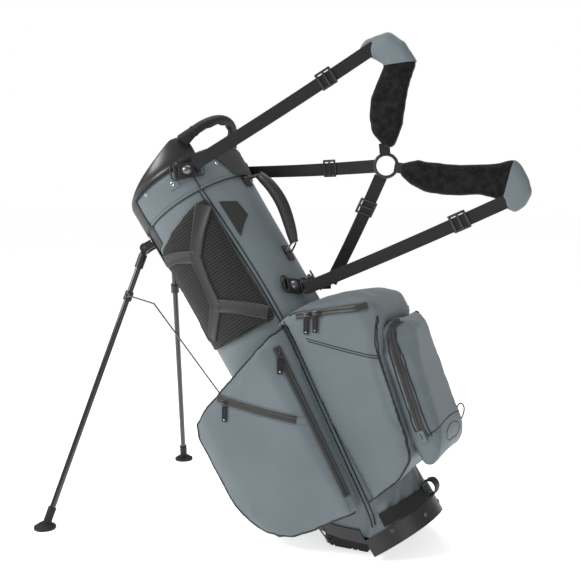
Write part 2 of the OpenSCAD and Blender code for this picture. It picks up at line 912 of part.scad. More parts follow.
// ---------------------------------------------------------------- harness
upper_hub = [-57, 820];
lower_hub = [-22, 520];
hub_l = 52;
hub_wid = 30;
hub_t = 7;
hub_tilt = [72, 66];
function hub_out(h) = tube_r(h[1]) + (h[1] > cuff_low ? cuff_wall + 2 : 0.4);
module hub_place(h, tilt) {
    on_tube(h[0], h[1], hub_out(h))
        rotate([0, 0, tilt])
            children();
}
module hub_plate() {
    difference() {
        union() {
            translate([-hub_l / 2 + hub_wid / 2, -hub_wid / 2, 0])
                cube([hub_l - hub_wid, hub_wid, hub_t]);
            for (x = [-1, 1])
                translate([x * (hub_l - hub_wid) / 2, 0, 0])
                    cylinder(h = hub_t, r = hub_wid / 2);
            cylinder(h = hub_t + 3, r = button_r + 3.5);
        }
        translate([0, 0, 2])
            cylinder(h = 20, r = button_r + 0.1);
        for (x = [-20, 17])
            translate([x, -9, 2])
                cube([3.5, 18, 20]);
    }
}
module hub_button() {
    translate([0, 0, 2 + button_travel + 0.3])
        cylinder(h = hub_t + 1 - button_travel - 0.3, r = button_r);
    translate([0, 0, hub_t + 3])
        intersection() {
            translate([0, 0, -8])
                sphere(r = 12.04);
            cylinder(h = 6, r = button_r);
        }
}
module strap_hubs() {
    color(black)
        stand()
            both() {
                hub_place(upper_hub, hub_tilt[0])
                    hub_plate();
                hub_place(lower_hub, hub_tilt[1])
                    hub_plate();
            }
}
module placed_button(h, tilt, s) {
    color(grey)
        stand()
            side_of(s)
                hub_place(h, tilt)
                    hub_button();
}
// Points of the raised harness, in the bag's frame
ring_c = [388, 0, 618];
upper_tip = [470, -26, 806];
lower_tip = [541, -26, 429];
upper_start = [98, -121, 816];
lower_start = [140, -58, 500];
far_upper_start = [112, 112, 805];
far_lower_start = [150, 52, 494];
sight = [0.467, -0.882, -0.058];
strap_clear = 4;
module harness_ring() {
    color(black)
        stand()
            translate(ring_c)
                rotate([90, 0, 0])
                    rotate_extrude()
                        translate([ring_r, 0])
                            circle(r = 3, $fn = 24);
}
module pad_outline_upper() {
    polygon([[410, 642], [424, 634], [458, 658], [502, 706], [541, 740], [543, 786],
        [532, 818], [512, 828], [484, 837], [466, 830], [480, 800], [488, 776], [456, 755],
        [432, 737], [412, 709], [402, 680]]);
}
module pad_outline_lower() {
    polygon([[415, 602], [446, 591], [480, 563], [509, 539], [555, 509], [594, 490],
        [598, 478], [597, 449], [590, 424], [570, 411], [550, 409], [540, 420], [536, 440],
        [508, 470], [477, 488], [454, 505], [426, 533], [412, 560], [405, 586]]);
}
module harness_pad() {
    translate([0, -6, 0])
        rotate([90, 0, 0])
            linear_extrude(pad_t, center = true)
                children();
}
module shoulder_pad_upper() {
    color(black)
        stand()
            harness_pad()
                pad_outline_upper();
}
module shoulder_pad_lower() {
    color(black)
        stand()
            harness_pad()
                pad_outline_lower();
}
module strap_line(p, q) {
    stand()
        strip(p, q, sight, web_w, web_t);
}
module strap_upper_near() {
    color(web)
        strap_line(upper_start, upper_tip);
}
module strap_lower_near() {
    color(web)
        strap_line(lower_start, lower_tip);
}
function short_of(p, q, r) = q - unit(q - p) * r;
module strap_upper_far() {
    color(web)
        strap_line(far_upper_start, short_of(far_upper_start, ring_c, ring_r + strap_clear));
}
module strap_lower_far() {
    color(web)
        strap_line(far_lower_start, short_of(far_lower_start, ring_c, ring_r + strap_clear));
}
module adjuster(p, q, at) {
    stand()
        frame(p + unit(q - p) * at, q - p, sight)
            difference() {
                translate([-web_w / 2 - 4, -4.5, 0])
                    cube([web_w + 8, 9, 34]);
                translate([-web_w / 2 - 0.2, -web_t / 2 - 0.2, -1])
                    cube([web_w + 0.4, web_t + 0.4, 40]);
            }
}
module strap_adjusters() {
    color(black) {
        adjuster(upper_start, upper_tip, 285);
        adjuster(lower_start, lower_tip, 305);
        adjuster(far_upper_start, ring_c, 190);
        adjuster(far_lower_start, ring_c, 160);
    }
}

// ---------------------------------------------------------------- towel loop
loop_r = 1.25;
loop_at = [228, 66, 140];
loop_pts = [[0, 0, 0], [3, 0, 8], [9, 0, 17], [17, 0, 21], [22, 0, 17], [21, 0, 9], [14, 0, 0],
    [4, 0, -7], [-8, 0, -10]];
function bez(a, b, c, t) = a * (1 - t) * (1 - t) + b * 2 * t * (1 - t) + c * t * t;
function mid(a, b) = (a + b) / 2;
loop_path = [for (i = [1:len(loop_pts) - 2]) for (t = [0, 0.33, 0.67])
    bez(mid(loop_pts[i - 1], loop_pts[i]), loop_pts[i], mid(loop_pts[i], loop_pts[i + 1]), t)];
module cord_loop() {
    n = len(loop_path);
    sides = 8;
    along = [for (i = [0:n - 1]) unit(loop_path[min(i + 1, n - 1)] - loop_path[max(i - 1, 0)])];
    rings = [for (i = [0:n - 1]) for (k = [0:sides - 1])
        loop_path[i] + loop_r * (cos(k * 45) * [0, 1, 0]
            + sin(k * 45) * cross(along[i], [0, 1, 0]))];
    walls = [for (i = [0:n - 2]) for (k = [0:sides - 1])
        [i * sides + k, i * sides + (k + 1) % sides, (i + 1) * sides + (k + 1) % sides,
            (i + 1) * sides + k]];
    ends = [[for (k = [sides - 1:-1:0]) k], [for (k = [0:sides - 1]) (n - 1) * sides + k]];
    color(black)
        stand()
            translate(loop_at)
                polyhedron(points = rings, faces = concat(walls, ends));
}

stand() tube_shell();
stand() top_cuff();
stand() top_rim();
stand() lift_handle();
stand() club_divider();
stand() support_stays();
stand() base_cup();
stand() base_rivets();
pivot_pins();
stand() grab_strap();
leg_bracket();
trim_screws();
carry_handle();
side_pocket(near);  // side_pocket_near
side_pocket(far);  // side_pocket_far
stand() cooler_pocket();
stand() ball_pocket();
hip_pad(near);  // hip_pad_near
hip_pad(far);  // hip_pad_far
stand() zip_tapes();
strap_hubs();
emblem_patch();
cord_loop();
harness_ring();
shoulder_pad_upper();
shoulder_pad_lower();
strap_upper_near();
strap_lower_near();
strap_upper_far();
strap_lower_far();
strap_adjusters();
leg_tube(near);  // leg_tube_near
leg_knuckle(near);  // leg_knuckle_near
leg_collar(near);  // leg_collar_near
leg_boot(near);  // leg_boot_near
push_rod(near);  // push_rod_near
leg_tube(far);  // leg_tube_far
leg_knuckle(far);  // leg_knuckle_far
leg_collar(far);  // leg_collar_far
leg_boot(far);  // leg_boot_far
push_rod(far);  // push_rod_far
foot_flap();
foot_tread();
placed_button(upper_hub, hub_tilt[0], near);  // hub_button_upper_near
placed_button(upper_hub, hub_tilt[0], far);  // hub_button_upper_far
placed_button(lower_hub, hub_tilt[1], near);  // hub_button_lower_near
placed_button(lower_hub, hub_tilt[1], far);  // hub_button_lower_far
pocket_slider(main_zip, near);  // main_slider_near
pocket_puller(main_zip, near);  // main_puller_near
pocket_slider(main_zip, far);  // main_slider_far
pocket_puller(main_zip, far);  // main_puller_far
pocket_slider(small_zip, near);  // small_slider_near
pocket_puller(small_zip, near);  // small_puller_near
pocket_slider(small_zip, far);  // small_slider_far
pocket_puller(small_zip, far);  // small_puller_far
cooler_zip_slider(cooler_a);  // cooler_stop_slider
cooler_zip_puller(cooler_a);  // cooler_stop_puller
cooler_zip_slider(cooler_b);  // cooler_slider
cooler_zip_puller(cooler_b);  // cooler_puller
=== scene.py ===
# %% [markdown]
# # A golf stand bag
# The bag stands on two folding legs and a hinged foot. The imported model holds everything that
# moves or fits. This lesson dresses it: coated fabric, padded pockets, webbing and trim.

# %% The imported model
import json
import math

import bpy
import numpy as np
from mathutils import Matrix, Vector
from mathutils.bvhtree import BVHTree
from mathutils.noise import noise

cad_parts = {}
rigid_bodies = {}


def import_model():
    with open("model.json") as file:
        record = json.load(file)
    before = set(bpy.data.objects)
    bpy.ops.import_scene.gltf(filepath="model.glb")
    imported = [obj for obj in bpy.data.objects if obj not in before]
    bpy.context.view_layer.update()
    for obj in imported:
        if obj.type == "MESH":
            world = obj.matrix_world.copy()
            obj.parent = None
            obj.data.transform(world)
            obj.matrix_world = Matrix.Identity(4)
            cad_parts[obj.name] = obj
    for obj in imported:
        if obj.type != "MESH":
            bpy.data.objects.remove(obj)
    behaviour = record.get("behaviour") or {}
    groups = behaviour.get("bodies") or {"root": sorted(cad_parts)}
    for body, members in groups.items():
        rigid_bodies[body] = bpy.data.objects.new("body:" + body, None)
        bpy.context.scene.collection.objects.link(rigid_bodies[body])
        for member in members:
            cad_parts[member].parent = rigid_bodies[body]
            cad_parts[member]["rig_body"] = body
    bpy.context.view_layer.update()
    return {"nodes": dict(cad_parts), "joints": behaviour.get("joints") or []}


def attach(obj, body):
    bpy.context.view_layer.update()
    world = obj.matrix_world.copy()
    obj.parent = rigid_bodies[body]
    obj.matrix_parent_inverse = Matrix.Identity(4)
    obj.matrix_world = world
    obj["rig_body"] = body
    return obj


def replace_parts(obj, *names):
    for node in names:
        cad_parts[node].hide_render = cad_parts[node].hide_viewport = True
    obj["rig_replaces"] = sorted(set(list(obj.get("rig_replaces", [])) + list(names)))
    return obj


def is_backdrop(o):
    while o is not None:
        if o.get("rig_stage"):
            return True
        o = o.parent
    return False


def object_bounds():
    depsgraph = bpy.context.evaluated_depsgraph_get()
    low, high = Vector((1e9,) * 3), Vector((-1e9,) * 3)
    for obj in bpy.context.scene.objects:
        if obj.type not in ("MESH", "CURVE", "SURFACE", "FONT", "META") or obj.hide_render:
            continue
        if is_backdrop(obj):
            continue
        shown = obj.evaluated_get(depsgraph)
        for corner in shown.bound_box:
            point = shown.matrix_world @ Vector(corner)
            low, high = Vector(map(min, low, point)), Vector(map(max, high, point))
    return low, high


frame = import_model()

# %% [markdown]
# The bag leans back on its foot's hinge. Everything sewn to it is easier to draw upright, so
# pieces are made in the bag's own upright frame, in metres: u towards the harness, v towards
# the far side, w up the bag. One matrix then leans each finished mesh.

# %% The bag's own frame
MM = 0.001
foot_joint = next(j for j in frame["joints"] if j["name"] == "foot_hinge")
hinge = Vector(foot_joint["pos_m"])
lean = math.radians(foot_joint["range_deg"][1])
LEAN = (Matrix.Translation(hinge) @ Matrix.Rotation(-lean, 4, "Y")
        @ Matrix.Translation((0, 0, -hinge.z)))

tube_low, tube_high, cuff_low, rim_w = 115, 121, 776, 838


def tube_r(w):
    """Radius of the tube in mm at height w."""
    return tube_low + (tube_high - tube_low) * w / cuff_low


def around(angle, w, lift=0.0):
    """A point on the tube, in mm, at an angle in degrees from the harness side."""
    r = tube_r(w) + lift
    return Vector((r * math.cos(math.radians(angle)), r * math.sin(math.radians(angle)), w))


def row(p):
    """A point of the bag's frame in mm, in the row frame in metres."""
    return LEAN @ (Vector(p) * MM)


# Straps face this way, and trim on the flanks is dropped along it.
facing = LEAN.to_3x3().transposed() @ Vector((0.467, -0.882, -0.058))
print("lean", round(math.degrees(lean), 2), "degrees")

# %% [markdown]
# ## The camera and the towel cord
# The camera comes first, with the one free cord, whose length is printed.
# The camera is a plain one, placed low and a little to the side, as a person would stand.

# %% Camera
bpy.ops.object.camera_add(location=(0.61222, -1.58099, 0.67666),
                          rotation=(math.radians(83.75), 0, math.radians(26.01)))
camera = bpy.context.active_object
camera.data.lens, camera.data.sensor_width = 54.09, 36
bpy.context.scene.camera = camera
print("camera", tuple(round(x, 2) for x in camera.location))

# %% [markdown]
# The towel cord is a thin elastic loop at the corner of the front pocket. Its route is a few
# listed points, joined by arcs. A curve with a round bevel gives the tube, which is then
# made a mesh, and the length of its line is measured.

# %% Towel cord
cord_ends = [(0, 0, 0), (3, 0, 8), (9, 0, 17), (17, 0, 21), (22, 0, 17), (21, 0, 9), (14, 0, 0),
             (4, 0, -7), (-8, 0, -10)]
cord_start = Vector((228, 66, 140))
knots = [row(cord_start + Vector(p)) for p in cord_ends]
cord_line = []
for a, b, c in zip(knots, knots[1:], knots[2:]):
    for t in (0, 0.25, 0.5, 0.75):
        cord_line.append((a + b) / 2 * (1 - t) ** 2 + b * 2 * t * (1 - t) + (b + c) / 2 * t * t)
cord_curve = bpy.data.curves.new("towel_cord", "CURVE")
cord_curve.dimensions = "3D"
spline = cord_curve.splines.new("POLY")
spline.points.add(len(cord_line) - 1)
for point, at in zip(spline.points, cord_line):
    point.co = (*at, 1)
cord_curve.bevel_depth, cord_curve.bevel_resolution = 0.00125, 3
cord_curve.use_fill_caps = True
towel_cord = bpy.data.objects.new("towel_cord", cord_curve)
bpy.context.scene.collection.objects.link(towel_cord)
bpy.ops.object.select_all(action="DESELECT")
towel_cord.select_set(True)
bpy.context.view_layer.objects.active = towel_cord
bpy.ops.object.convert(target="MESH")
towel_cord = bpy.context.view_layer.objects.active
towel_cord.name = towel_cord.data.name = "towel_cord"
cord_length = sum((q - p).length for p, q in zip(cord_line, cord_line[1:]))
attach(towel_cord, "bag")
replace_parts(towel_cord, "cord_loop")
print("cord", round(cord_length * 1000), "mm")

# %% [markdown]
# Operators act on whatever is selected, so every step starts from an empty selection.

# %% Helpers for objects
def alone(obj):
    """Select only this object and make it active."""
    bpy.ops.object.select_all(action="DESELECT")
    obj.select_set(True)
    bpy.context.view_layer.objects.active = obj
    return obj


def apply_modifier(obj, kind, **settings):
    """Add a modifier with these settings and apply it."""
    alone(obj)
    modifier = obj.modifiers.new(kind.title(), kind)
    for key, value in settings.items():
        setattr(modifier, key, value)
    bpy.ops.object.modifier_apply(modifier=modifier.name)
    return obj


def edit(obj, *steps):
    """Run edit-mode operators on the whole mesh; a step is a function or (function, settings)."""
    alone(obj)
    bpy.ops.object.mode_set(mode="EDIT")
    bpy.ops.mesh.select_all(action="SELECT")
    for step in steps:
        call, settings = step if isinstance(step, tuple) else (step, {})
        call(**settings)
    bpy.ops.object.mode_set(mode="OBJECT")
    return obj


def tidy_normals(obj):
    return edit(obj, (bpy.ops.mesh.remove_doubles, {"threshold": 0.00002}),
                (bpy.ops.mesh.normals_make_consistent, {"inside": False}))


def finish_piece(obj, name, material, body="bag", stands_for=(), leaned=True, angle=40):
    """Name a mesh, lean it with the bag, give it its finish and let it ride on its body."""
    if leaned:
        obj.data.transform(LEAN)
    obj.name = obj.data.name = name
    obj.data.materials.clear()
    obj.data.materials.append(material)
    alone(obj)
    bpy.ops.object.shade_smooth_by_angle(angle=math.radians(angle))
    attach(obj, body)
    if stands_for:
        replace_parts(obj, *stands_for)
    return obj


def mirrored(obj, name, body=None, stands_for=()):
    """The same piece on the other side of the bag's middle plane."""
    twin = obj.copy()
    twin.data = obj.data.copy()
    bpy.context.scene.collection.objects.link(twin)
    twin.parent = None
    twin.data.transform(Matrix.Diagonal((1, -1, 1, 1)))
    edit(twin, bpy.ops.mesh.flip_normals)
    twin.name = twin.data.name = name
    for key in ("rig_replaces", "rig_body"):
        if key in twin:
            del twin[key]
    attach(twin, body or obj["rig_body"])
    if stands_for:
        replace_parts(twin, *stands_for)
    return twin


def join(objects):
    """Several meshes made one."""
    alone(objects[0])
    for obj in objects[1:]:
        obj.select_set(True)
    bpy.ops.object.join()
    return bpy.context.view_layer.objects.active


# %% [markdown]
# Piping, seams and handles all follow a smooth line, so one helper turns a few chosen points
# into evenly spaced ones on a curve that passes through every point.

# %% Smooth lines, tubes and lofts
def smooth_line(points, step, closed=False):
    """Points in mm every step mm along a curve through these points."""
    pts = [Vector(p) for p in points]
    ext = [pts[-1], *pts, pts[0], pts[1]] if closed else [2 * pts[0] - pts[1], *pts,
                                                       2 * pts[-1] - pts[-2]]
    fine = []
    for a, b, c, d in zip(ext, ext[1:], ext[2:], ext[3:]):
        for k in range(24):
            t = k / 24
            fine.append(0.5 * (2 * b + (c - a) * t + (2 * a - 5 * b + 4 * c - d) * t * t
                               + (3 * b - a - 3 * c + d) * t ** 3))
    fine.append(ext[-2].copy())
    out, left = [fine[0]], step
    for p, q in zip(fine, fine[1:]):
        length = (q - p).length
        while length > 1e-9 and left <= length:
            p = p + (q - p) * (left / length)
            out.append(p)
            length = (q - p).length
            left = step
        left -= length
    if closed:
        return out[:-1] if (out[-1] - out[0]).length < step * 0.6 else out
    if (out[-1] - fine[-1]).length > step * 0.3:
        out.append(fine[-1])
    return out


def tube(points, radius, closed=False, sides=2, radii=None):
    """A round tube in mm along a line: a curve with a bevel, made a mesh."""
    curve = bpy.data.curves.new("line", "CURVE")
    curve.dimensions = "3D"
    spline = curve.splines.new("POLY")
    spline.points.add(len(points) - 1)
    for k, p in enumerate(points):
        spline.points[k].co = (*(Vector(p) * MM), 1)
        spline.points[k].radius = radii[k] if radii else 1
    spline.use_cyclic_u = closed
    curve.bevel_depth = radius * MM
    curve.bevel_resolution = sides
    curve.use_fill_caps = not closed
    obj = bpy.data.objects.new("line", curve)
    bpy.context.scene.collection.objects.link(obj)
    alone(obj)
    bpy.ops.object.convert(target="MESH")
    return tidy_normals(bpy.context.view_layer.objects.active)


def loft(rings, closed=False):
    """A skin over rings of points in mm, all with the same count, with its ends closed."""
    n = len(rings[0])
    verts = [Vector(p) * MM for ring in rings for p in ring]
    faces = []
    last = len(rings) if closed else len(rings) - 1
    for i in range(last):
        a, b = i * n, (i + 1) % len(rings) * n
        faces += [(a + k, a + (k + 1) % n, b + (k + 1) % n, b + k) for k in range(n)]
    if not closed:
        faces += [tuple(range(n))[::-1], tuple(range((len(rings) - 1) * n, len(rings) * n))]
    mesh = bpy.data.meshes.new("loft")
    mesh.from_pydata(verts, [], faces)
    obj = bpy.data.objects.new("loft", mesh)
    bpy.context.scene.collection.objects.link(obj)
    return tidy_normals(obj)


def frames_along(points, face):
    """At each point the direction of the line, the side and the outward direction."""
    out = []
    for k, p in enumerate(points):
        d = (Vector(points[min(k + 1, len(points) - 1)]) - Vector(points[max(k - 1, 0)])).normalized()
        f = Vector(face[k] if isinstance(face, list) else face)
        side = d.cross(f).normalized()
        out.append((d, side, side.cross(d).normalized()))
    return out


def band(points, face, width, thick, crown=0.0, round_edge=0.5):
    """A flat band in mm along a line, its face towards face, with soft edges and its own UVs."""
    rings = []
    half, t = width / 2, thick / 2
    for p, (_, side, out) in zip(points, frames_along(points, face)):
        r = min(round_edge, t)
        section = [(-half, -t + r), (-half + r, -t), (0, -t), (half - r, -t), (half, -t + r),
                   (half, t - r), (half - r, t), (half / 2, t + crown * 0.75), (0, t + crown),
                   (-half / 2, t + crown * 0.75), (-half + r, t), (-half, t - r)]
        rings.append([Vector(p) + side * a + out * b for a, b in section])
    return loft(rings)


def scatter_uv(obj, points, face):
    """UVs in metres along and across a line, for a weave that follows a strap."""
    line = [row(p) for p in points]
    turn = LEAN.to_3x3()
    sides = [turn @ s for _, s, _ in frames_along(points, face)]
    lengths = np.cumsum([0] + [(b - a).length for a, b in zip(line, line[1:])])
    spots = np.array(line)
    layer = obj.data.uv_layers.new(name="UVMap") if not obj.data.uv_layers else obj.data.uv_layers[0]
    for loop in obj.data.loops:
        co = obj.data.vertices[loop.vertex_index].co
        k = int(np.argmin(((spots - np.array(co)) ** 2).sum(1)))
        layer.data[loop.index].uv = ((co - line[k]).dot(sides[k]), lengths[k])


def wrap_uv(obj):
    """UVs in metres round and up the tube, for a pattern that follows it."""
    back = LEAN.inverted()
    layer = obj.data.uv_layers.new(name="UVMap") if not obj.data.uv_layers else obj.data.uv_layers[0]
    for loop in obj.data.loops:
        p = back @ obj.data.vertices[loop.vertex_index].co
        layer.data[loop.index].uv = (math.atan2(p.y, p.x) * tube_low * MM, p.z)


# %% [markdown]
# Shader sums read best as sums. `Val` wraps a socket, so `1 - mask * 0.3` adds its own Math
# nodes, and `Paint.node` makes any other node from its settings and inputs.

# %% Shader helpers
class Val:
    """A number in a shader, which takes part in sums."""

    def __init__(self, paint, socket):
        self.paint, self.socket = paint, socket

    def sum(self, operation, *others):
        return self.paint.node("ShaderNodeMath", {"operation": operation}, [self, *others])

    def __add__(self, other):
        return self.sum("ADD", other)

    def __sub__(self, other):
        return self.sum("SUBTRACT", other)

    def __rsub__(self, other):
        return self.paint.node("ShaderNodeMath", {"operation": "SUBTRACT"}, [other, self])

    def __mul__(self, other):
        return self.sum("MULTIPLY", other)

    __radd__, __rmul__ = __add__, __mul__


class Paint:
    """A material that is being mixed."""

    def __init__(self, name, **constants):
        self.material = bpy.data.materials.new(name)
        self.material.use_nodes = True
        self.tree = self.material.node_tree
        self.shader = next(n for n in self.tree.nodes if n.type == "BSDF_PRINCIPLED")
        for key, value in constants.items():
            self.shader.inputs[key.replace("_", " ")].default_value = value

    def node(self, kind, settings=None, inputs=(), out=0):
        node = self.tree.nodes.new(kind)
        for key, value in (settings or {}).items():
            setattr(node, key, value)
        pairs = inputs.items() if isinstance(inputs, dict) else enumerate(inputs)
        for key, value in pairs:
            if isinstance(value, Val):
                self.tree.links.new(value.socket, node.inputs[key])
            else:
                node.inputs[key].default_value = value
        return Val(self, node.outputs[out])

    def spot(self):
        return self.node("ShaderNodeTexCoord", out="Object")

    def uv(self):
        return self.node("ShaderNodeTexCoord", out="UV")

    def noise(self, scale, detail=2.0):
        return self.node("ShaderNodeTexNoise", {}, {"Vector": self.spot(), "Scale": scale,
                                                    "Detail": detail}, out="Fac")

    def cells(self, scale):
        return self.node("ShaderNodeTexVoronoi", {}, {"Vector": self.spot(), "Scale": scale}, out="Distance")

    def ramp(self, value, low, high):
        """0 under low, 1 over high, smooth between."""
        return self.node("ShaderNodeMapRange", {"interpolation_type": "SMOOTHSTEP"},
                         {"Value": value, "From Min": low, "From Max": high})

    def between(self, mask, first, second):
        """A colour that goes from first to second with the mask."""
        return self.node("ShaderNodeMix", {"data_type": "RGBA"},
                         {0: mask, 6: (*first, 1), 7: (*second, 1)}, out=2)

    def bump(self, height, distance, strength=1.0):
        value = self.node("ShaderNodeBump", {}, {"Height": height, "Distance": distance,
                                                 "Strength": strength})
        self.set("Normal", value)

    def set(self, socket, value):
        self.tree.links.new(value.socket, self.shader.inputs[socket])


# %% [markdown]
# The body is a matt fabric with a thin polyurethane coat. Its grain is under a millimetre, and
# large soft patches of tone keep it from looking like plastic.

# %% Coated fabric
def coated_fabric(name, dark, light):
    paint = Paint(name, Sheen_Weight=0.12, Sheen_Roughness=0.5, Specular_IOR_Level=0.4)
    patches = paint.noise(6.0, 3.0)
    grain = paint.cells(900.0)
    paint.set("Base Color", paint.between(paint.ramp(patches + grain * 0.15, 0.35, 0.8), dark, light))
    paint.set("Roughness", 0.5 + 0.12 * paint.noise(40.0))
    paint.bump(grain + paint.noise(2200.0, 1.0) * 0.6, 0.00018, 0.35)
    return paint.material


slate = coated_fabric("slate_fabric", (0.118, 0.146, 0.158), (0.142, 0.172, 0.185))
print("fabric mixed")

# %% [markdown]
# The dark finishes differ mostly in grain and gloss: leather grain on the frame and handle,
# fine spark texture on moulded plastic, ribs on webbing, open cells on the knitted mesh.

# %% Dark trims
def grained(name, dark, light, cell, depth, rough, **constants):
    """Leather-like or moulded texture: rounded cells with lighter tops."""
    paint = Paint(name, **constants)
    grain = paint.cells(1 / cell)
    soft = paint.noise(0.3 / cell, 3.0)
    paint.set("Base Color", paint.between(paint.ramp(grain + soft * 0.4, 0.2, 0.9), light, dark))
    paint.set("Roughness", rough + 0.14 * soft)
    paint.bump(1 - grain, depth, 0.5)
    return paint.material


leatherette = grained("leatherette", (0.030, 0.031, 0.032), (0.046, 0.047, 0.049), 0.0011, 0.0002,
                      0.4, Specular_IOR_Level=0.35)
soft_black = grained("soft_black", (0.014, 0.014, 0.016), (0.022, 0.022, 0.024), 0.0009, 0.0002, 0.36)
plastic = grained("moulded_plastic", (0.016, 0.016, 0.018), (0.024, 0.024, 0.026), 0.0005, 0.00008,
                  0.3, Specular_IOR_Level=0.5)
rubber = grained("rubber", (0.012, 0.012, 0.013), (0.020, 0.020, 0.021), 0.0008, 0.00012, 0.55,
                 Specular_IOR_Level=0.35)
binding = grained("binding", (0.010, 0.010, 0.011), (0.020, 0.020, 0.022), 0.0006, 0.0001, 0.5)


def satin_crown():
    paint = Paint("satin_crown", Coat_Weight=0.15, Coat_Roughness=0.3)
    paint.set("Base Color", paint.between(paint.noise(30.0), (0.012, 0.012, 0.013), (0.022, 0.022, 0.024)))
    paint.set("Roughness", 0.3 + 0.1 * paint.noise(90.0))
    paint.bump(paint.noise(1500.0, 1.0), 0.00004, 0.4)
    return paint.material


crown_black = satin_crown()


def webbing():
    """Flat ribs across the strap, from UVs in metres."""
    paint = Paint("webbing", Sheen_Weight=0.1, Sheen_Roughness=0.4, Specular_IOR_Level=0.3)
    place = paint.node("ShaderNodeSeparateXYZ", {}, [paint.uv()], out="Y")
    across = paint.node("ShaderNodeSeparateXYZ", {}, [paint.uv()], out="X")
    ribs = paint.node("ShaderNodeMath", {"operation": "SINE"}, [place * (2 * math.pi / 0.0016)])
    yarn = paint.node("ShaderNodeMath", {"operation": "SINE"}, [across * (2 * math.pi / 0.0022)])
    weave = ribs * yarn
    paint.set("Base Color", paint.between(paint.ramp(weave + paint.noise(400.0) * 0.5, -0.8, 1.2),
                                          (0.006, 0.006, 0.007), (0.018, 0.018, 0.019)))
    paint.set("Roughness", 0.62 + 0.1 * paint.noise(60.0))
    paint.bump(weave, 0.00025, 0.5)
    return paint.material


def knitted_mesh():
    """Offset rows of open cells, from UVs in metres."""
    paint = Paint("knitted_mesh", Sheen_Weight=0.06, Specular_IOR_Level=0.25)
    parts = [paint.node("ShaderNodeSeparateXYZ", {}, [paint.uv()], out=k) for k in ("X", "Y")]
    pitch = 2 * math.pi / 0.0086
    waves = [paint.node("ShaderNodeMath", {"operation": "SINE"}, [angle]) for angle in
             ((parts[0] + parts[1] * 0.7) * pitch, (parts[0] - parts[1] * 0.7) * pitch)]
    yarn = paint.ramp(waves[0] * waves[1], -0.35, 0.35)
    paint.set("Base Color", paint.between(yarn, (0.030, 0.030, 0.031), (0.004, 0.004, 0.004)))
    paint.set("Roughness", 0.62 + 0.1 * paint.noise(200.0))
    paint.bump(1 - yarn, 0.0007, 0.7)
    return paint.material


def plush():
    """Short black pile, soft and patchy."""
    paint = Paint("plush", Sheen_Weight=0.15, Sheen_Roughness=0.35, Specular_IOR_Level=0.15)
    pile = paint.noise(620.0, 4.0)
    tufts = paint.noise(90.0, 3.0)
    paint.set("Base Color", paint.between(paint.ramp(pile * 0.6 + tufts * 0.7, 0.45, 0.85),
                                          (0.003, 0.003, 0.0035), (0.018, 0.018, 0.019)))
    paint.set("Roughness", 0.85 + 0.1 * tufts)
    paint.bump(pile + tufts * 1.5, 0.0016, 0.8)
    return paint.material


def metal(name, color, rough, grain=0.1):
    paint = Paint(name, Metallic=1.0)
    paint.set("Base Color", paint.between(paint.noise(80.0), tuple(c * 0.8 for c in color), color))
    paint.set("Roughness", rough + grain * paint.noise(500.0, 2.0))
    paint.bump(paint.noise(3000.0, 1.0), 0.00001, 0.3)
    return paint.material


def gloss_leg():
    paint = Paint("gloss_leg", Coat_Weight=0.6, Coat_Roughness=0.08)
    paint.set("Base Color", paint.between(paint.noise(25.0), (0.009, 0.009, 0.010), (0.015, 0.015, 0.017)))
    paint.set("Roughness", 0.2 + 0.1 * paint.noise(300.0))
    paint.bump(paint.noise(800.0), 0.00002, 0.3)
    return paint.material


def zip_film():
    """The rubber film of a water-repellent zip, with a faint lengthwise brush."""
    paint = Paint("zip_film")
    paint.set("Base Color", paint.between(paint.noise(120.0), (0.022, 0.022, 0.023), (0.034, 0.034, 0.036)))
    paint.set("Roughness", 0.4 + 0.15 * paint.noise(300.0))
    paint.bump(paint.noise(1800.0), 0.00005, 0.4)
    return paint.material


web, knit, pile = webbing(), knitted_mesh(), plush()
towel_cord.data.materials.append(web)
steel = metal("dark_steel", (0.20, 0.205, 0.215), 0.28)
bright = metal("bright_steel", (0.62, 0.63, 0.65), 0.22)
alloy = metal("alloy", (0.55, 0.56, 0.58), 0.35)
leg_paint, zip_band = gloss_leg(), zip_film()
print("materials", len(bpy.data.materials))

# %% [markdown]
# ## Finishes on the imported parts
# The hard parts keep their exact shape and only get a better finish.

# %% Dress the hard parts
def dress(material, *names):
    for name in names:
        slots = frame["nodes"][name].data.materials
        for k in range(len(slots)):
            slots[k] = material


sides = ("near", "far")
dress(leg_paint, *["leg_tube_" + s for s in sides])
dress(plastic, "leg_bracket", "base_cup", "club_divider", "strap_hubs", "strap_adjusters",
      *[f"leg_{p}_{s}" for p in ("knuckle", "collar") for s in sides])
dress(rubber, "foot_flap", "foot_tread", *["leg_boot_" + s for s in sides])
dress(steel, "base_rivets", "pivot_pins", "push_rod_near", "push_rod_far")
dress(bright, "trim_screws")
dress(steel, *[f"hub_button_{h}_{s}" for h in ("upper", "lower") for s in sides])
dress(alloy, "support_stays")
dress(plastic, *[n for n in frame["nodes"] if "slider" in n])
dress(rubber, *[n for n in frame["nodes"] if "puller" in n])
print("dressed")

# %% [markdown]
# ## The tube
# The body is one sheet of coated fabric round a stiff liner, so it is a tapered cylinder with
# faint waves. It pulls into short folds where the cup grips it.

# %% Bag skin
def skin_low(angle):
    """Where the slanted cup ends on the tube, in mm up the bag."""
    cut = 41 - 10
    return max(8.5, 10 + (cut - tube_low * math.cos(math.radians(angle)) * math.sin(lean)) / math.cos(lean))


folds = [(-76, 62, 34, 5.5), (-62, 74, 26, 4.5), (-46, 66, 34, 5.5), (-30, 72, 30, 4.5), (-104, 150, 30, 2.0),
         (-12, 66, 26, 4.0), (8, 70, 30, 4.5), (28, 66, 30, 4.5), (48, 72, 34, 5.0), (68, 62, 36, 5.5)]


